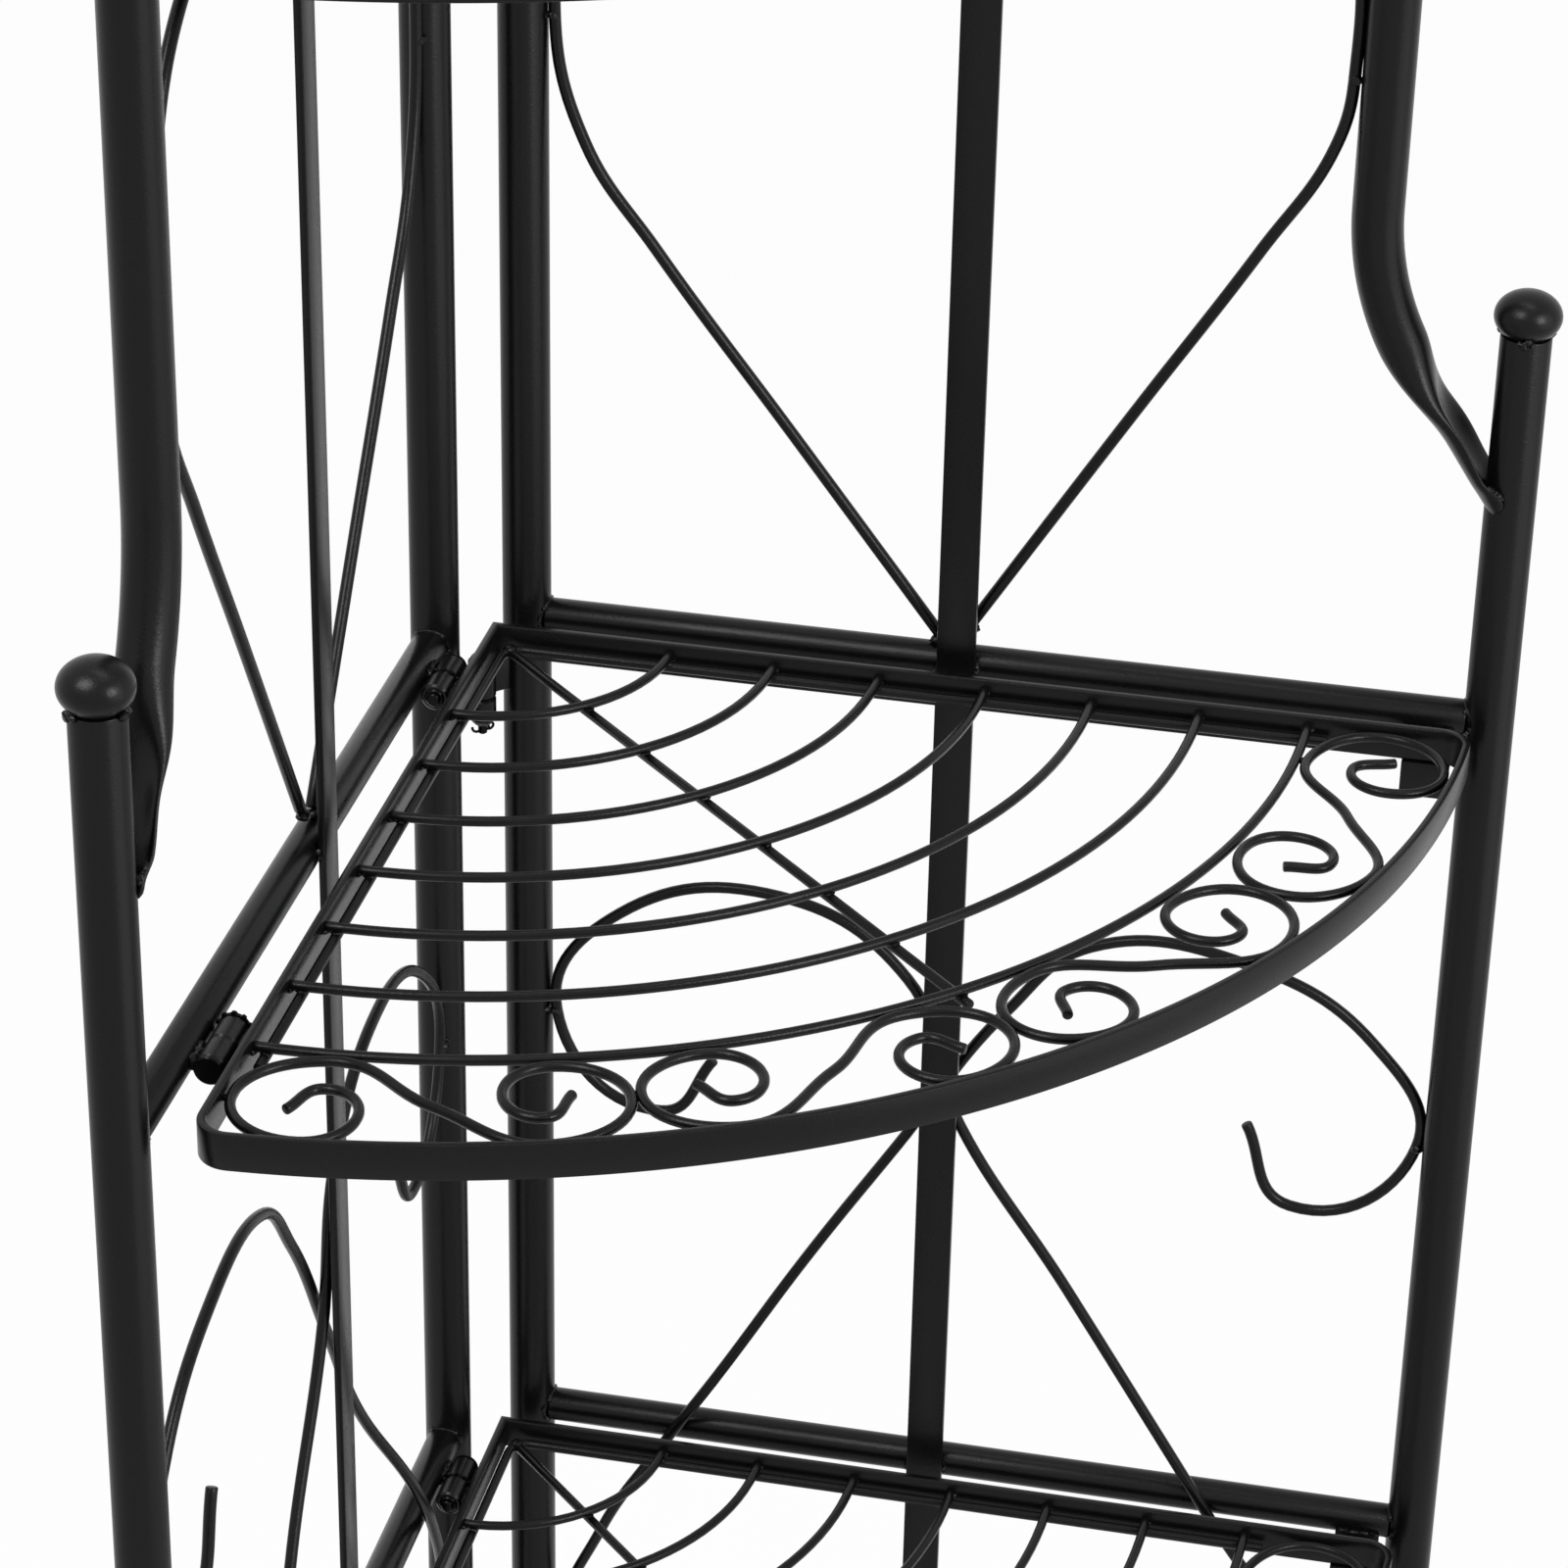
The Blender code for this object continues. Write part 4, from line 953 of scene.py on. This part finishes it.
for number, level in enumerate(LEVELS):
    shelf = "shelf_" + str(number + 1)
    reach = shelf_end(number) - SHELF_IN
    last_arc = reach - BAND_W
    inner = last_arc + 2 * SHELF_WIRE_R + GAP
    middle = last_arc + 0.5 * BAND_W
    end_clear = SHELF_WIRE_R + BAND_CLEAR
    touch = 2 * SHELF_WIRE_R - GAP
    length = (0.5 * math.pi * middle - 2 * end_clear - (SCROLL_COUNT - 1) * touch) / SCROLL_COUNT
    bm = bmesh.new()
    for index in range(SCROLL_COUNT):
        path = []
        for part, width in SCROLL + [(1 - part, 1 - width) for part, width in reversed(SCROLL[:-1])]:
            run = end_clear + index * (length + touch) + part * length
            angle = 0.5 * math.pi - run / middle
            ray = Vector((math.cos(angle), -math.sin(angle), 0))
            outer = bow_reach(reach, angle) - RIM_T - SHELF_WIRE_R - BAND_CLEAR
            share = 1 - width if index % 2 else width
            radius = inner + (outer - inner) * share
            path.append(shelf_point(radius * ray.x, radius * ray.y, level))
            across = UP.cross(ray)
            low_spot = path[-1] - UP * SHELF_TIE_DOWN
            if share < TOUCHING or share > 1 - TOUCHING:
                lean = -1 if share < TOUCHING else 1
                lump(bm, low_spot + ray * lean * SHELF_WIRE_R, (across, ray, UP), SHELF_TIE)
            if part in (0.0, 1.0):
                lean = 1 if part == 1.0 else -1
                lump(bm, low_spot + across * lean * SHELF_WIRE_R, (ray, across, UP), SHELF_TIE)
        drawn(bm, bent(path), SHELF_WIRE_R, SHELF_WIRE_SIDES)
    band = made(shelf + "_scrolls", bm, powder)
    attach(band, shelf)
    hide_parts(shelf + "_scroll_band")


# Shelf hinge pins
# The same blackened steel: a flat head at the outer end, a shank through both barrels and a turned
# boss at the inner end. A toothed lock ring is pressed on at the inner end of the front pins, and
# sits between the barrels on the rear ones.
PIN_ROUND = 0.0005
DISC_R = 0.0054
DISC_H = 0.0014
DISC_LOW = 0.0003
BOSS_R = 0.0026
BOSS_H = 0.0024
STEP_R = 0.0038
STEP_H = 0.0009
RING_R = 0.0066
RING_HALF_T = 0.0007
RING_RIM_HALF_T = 0.6 * RING_HALF_T
RING_THIN = {"rear": 0.3 * BARREL_SPLIT, "front": 0.9 * RING_HALF_T}
RING_TEETH = 10
TOOTH = 0.0011
TOOTH_SQUARE = 3
RING_BEYOND = 0.0002
RING_EDGE = 0.0001
PIN_SWEEP = 96

for number, level in enumerate(LEVELS):
    for end, hinge_u, outward in hinge_places(number):
        head = shelf_point(SHELF_HINGE_X, -hinge_u + 0.5 * BARREL_PAIR * outward, level - SHELF_HINGE_DROP)
        place = Matrix.Translation(head) @ Matrix.Rotation(-0.5 * math.pi * outward, 4, "X")
        foot = -BARREL_PAIR
        soft = PIN_ROUND
        bm = bmesh.new()
        shank = [
            (0, DISC_H), (DISC_R - soft, DISC_H), (DISC_R, DISC_H - soft), (DISC_R, DISC_LOW),
            (DISC_R - soft, PIN_GAP), (PIN_R, PIN_GAP), (PIN_R, foot - PIN_GAP), (STEP_R, foot - PIN_GAP),
            (STEP_R, foot - STEP_H + soft), (STEP_R - soft, foot - STEP_H), (BOSS_R, foot - STEP_H),
            (BOSS_R, foot - BOSS_H + soft), (BOSS_R - soft, foot - BOSS_H), (0, foot - BOSS_H),
        ]
        turned(bm, shank, PIN_SWEEP, place)
        ring_at = -BARREL_LEN - 0.5 * BARREL_SPLIT if end == "rear" else foot - RING_HALF_T
        thin = RING_THIN[end]
        ring_in = BARREL_R + RING_BEYOND
        lock_ring = [
            (PIN_R, ring_at - thin), (BARREL_R, ring_at - thin), (ring_in, ring_at - RING_HALF_T),
            (RING_R, ring_at - RING_RIM_HALF_T), (RING_R, ring_at + RING_RIM_HALF_T),
            (ring_in, ring_at + RING_HALF_T), (BARREL_R, ring_at + thin), (PIN_R, ring_at + thin),
        ]
        for vert in turned(bm, lock_ring, PIN_SWEEP, place, ring=True):
            spot = place.inverted() @ vert.co
            if spot.xy.length > RING_R - RING_EDGE:
                turn = math.atan2(spot.y, spot.x)
                notch = 0.5 + 0.5 * math.tanh(TOOTH_SQUARE * math.cos(RING_TEETH * turn))
                vert.co -= place.to_3x3() @ spot.xy.normalized().to_3d() * TOOTH * notch
        pin = made("shelf_" + str(number + 1) + "_" + end + "_hinge_pin", bm, blackened)
        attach(pin, "left_panel")
        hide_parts("shelf_" + str(number + 1) + "_" + end + "_pin")


# Studio floor
# A wide matt white sheet under the stand. The camera sees most of it as plain white paper, and the
# rest of what it shows is the light that falls on it: more of that near the stand's feet, so that
# their soft shadow stays.
FLOOR_R = 14.0
FLOOR_SIDES = 96
SHADOW_FROM = 0.75
SHADOW_FULL = 0.3
PAPER_NEAR = 0.7
PAPER_FAR = 0.97


def seen_share(tree):
    """1 where the camera, a reflection or a view through glass sees the surface, and else 0."""
    path_kind = add_node(tree, "ShaderNodeLightPath")
    most = {"operation": "MAXIMUM"}
    seen = add_node(tree, "ShaderNodeMath", most, Value=path_kind.outputs["Is Camera Ray"])
    tree.links.new(path_kind.outputs["Is Glossy Ray"], seen.inputs[1])
    seen_through = add_node(tree, "ShaderNodeMath", most, Value=seen.outputs["Value"])
    tree.links.new(path_kind.outputs["Is Transmission Ray"], seen_through.inputs[1])
    return seen_through.outputs["Value"]


# Matt white paper with next to no sheen
paper = bpy.data.materials.new("matt_white_studio_paper")
paper.use_nodes = True
tree = paper.node_tree
shader = tree.nodes["Principled BSDF"]
shader.inputs["Base Color"].default_value = linear("#f2f2f2")
shader.inputs["Roughness"].default_value = 0.9
shader.inputs["Specular IOR Level"].default_value = 0.1
glow = add_node(tree, "ShaderNodeEmission", Strength=1.0)
share = add_node(tree, "ShaderNodeMath", {"operation": "MULTIPLY"}, Value=seen_share(tree))
spot = add_node(tree, "ShaderNodeTexCoord")
from_stand = add_node(tree, "ShaderNodeVectorMath", {"operation": "LENGTH"}, Vector=spot.outputs["Object"])
plain = add_node(
    tree, "ShaderNodeMapRange", {"interpolation_type": "SMOOTHSTEP"}, Value=from_stand.outputs["Value"],
    From_Min=SHADOW_FULL, From_Max=SHADOW_FROM, To_Min=PAPER_NEAR, To_Max=PAPER_FAR,
)
tree.links.new(plain.outputs["Result"], share.inputs[1])
blend = add_node(tree, "ShaderNodeMixShader", Fac=share.outputs["Value"])
tree.links.new(shader.outputs["BSDF"], blend.inputs[1])
tree.links.new(glow.outputs["Emission"], blend.inputs[2])
tree.links.new(blend.outputs["Shader"], tree.nodes["Material Output"].inputs["Surface"])

bm = bmesh.new()
bmesh.ops.create_circle(bm, cap_ends=True, segments=FLOOR_SIDES, radius=FLOOR_R)
floor = made("studio_floor", bm, paper)


# Studio light
# A pale room, which shows as plain white behind the stand, and a strip light overhead, which draws
# thin lines along the wires. A tall softbox on the right comes down nearly to the floor and gives the
# tubes their lighter right sides; two brighter ones in front give the balls and rails highlights.
ROOM_LIGHT = 0.2
room = bpy.data.worlds.new("pale_studio_room")
bpy.context.scene.world = room
room.use_nodes = True
tree = room.node_tree
tree.nodes["Background"].inputs["Color"].default_value = linear("#ffffff")
tree.nodes["Background"].inputs["Strength"].default_value = ROOM_LIGHT
white = add_node(tree, "ShaderNodeBackground", Color=linear("#ffffff"), Strength=1.0)
blend = add_node(tree, "ShaderNodeMixShader", Fac=seen_share(tree))
tree.links.new(tree.nodes["Background"].outputs["Background"], blend.inputs[1])
tree.links.new(white.outputs["Background"], blend.inputs[2])
tree.links.new(blend.outputs["Shader"], tree.nodes["World Output"].inputs["Surface"])

TARGET = Vector((0, 0, LEVELS[2]))
# Each light's name, place, width, height and power in watts
SOFTBOXES = [
    ("tall_softbox_right", Vector((1.8, -0.55, 1.2)), 1.6, 2.2, 11),
    ("softbox_right", Vector((1.35, -0.8, 1.6)), 0.6, 0.8, 15),
    ("softbox_left", Vector((-0.75, -1.15, 2.6)), 0.95, 0.95, 29),
    ("strip_light_above", Vector((0.1, 0.2, 3.2)), 1.4, 0.33, 7),
]
for name, at, width, height, watts in SOFTBOXES:
    lamp = bpy.data.lights.new(name, "AREA")
    lamp.shape = "RECTANGLE"
    lamp.size = width
    lamp.size_y = height
    lamp.energy = watts
    holder = bpy.data.objects.new(name, lamp)
    holder.location = at
    holder.rotation_euler = (TARGET - at).to_track_quat("-Z", "Y").to_euler()
    bpy.context.scene.collection.objects.link(holder)


# Camera
# It stands in front and above, to the right of the stand's middle, with a long lens that shows one
# tier of the stand; in the picture the stand leans a little to the right.
CAMERA_AT = Vector((0.2672, -1.4608, 1.7293))
YAW = math.radians(-11.43)
PITCH = math.radians(28.29)
ROLL = math.radians(1.21)
SENSOR = 36.0
LENS = 112.5
CLIP_END = 60.0
forward = Vector((math.sin(YAW) * math.cos(PITCH), math.cos(YAW) * math.cos(PITCH), -math.sin(PITCH)))
right = Vector((math.cos(YAW), -math.sin(YAW), 0))
above = right.cross(forward)
rolled_right = right * math.cos(ROLL) + above * math.sin(ROLL)
rolled_above = above * math.cos(ROLL) - right * math.sin(ROLL)
lens = bpy.data.cameras.new("photo_camera")
lens.sensor_width = SENSOR
lens.lens = LENS
lens.clip_end = CLIP_END
camera = bpy.data.objects.new("photo_camera", lens)
camera.matrix_world = Matrix.Translation(CAMERA_AT) @ Matrix(
    (rolled_right, rolled_above, -forward)
).transposed().to_4x4()
bpy.context.scene.collection.objects.link(camera)
bpy.context.scene.camera = camera
bpy.context.scene.view_settings.view_transform = "Standard"
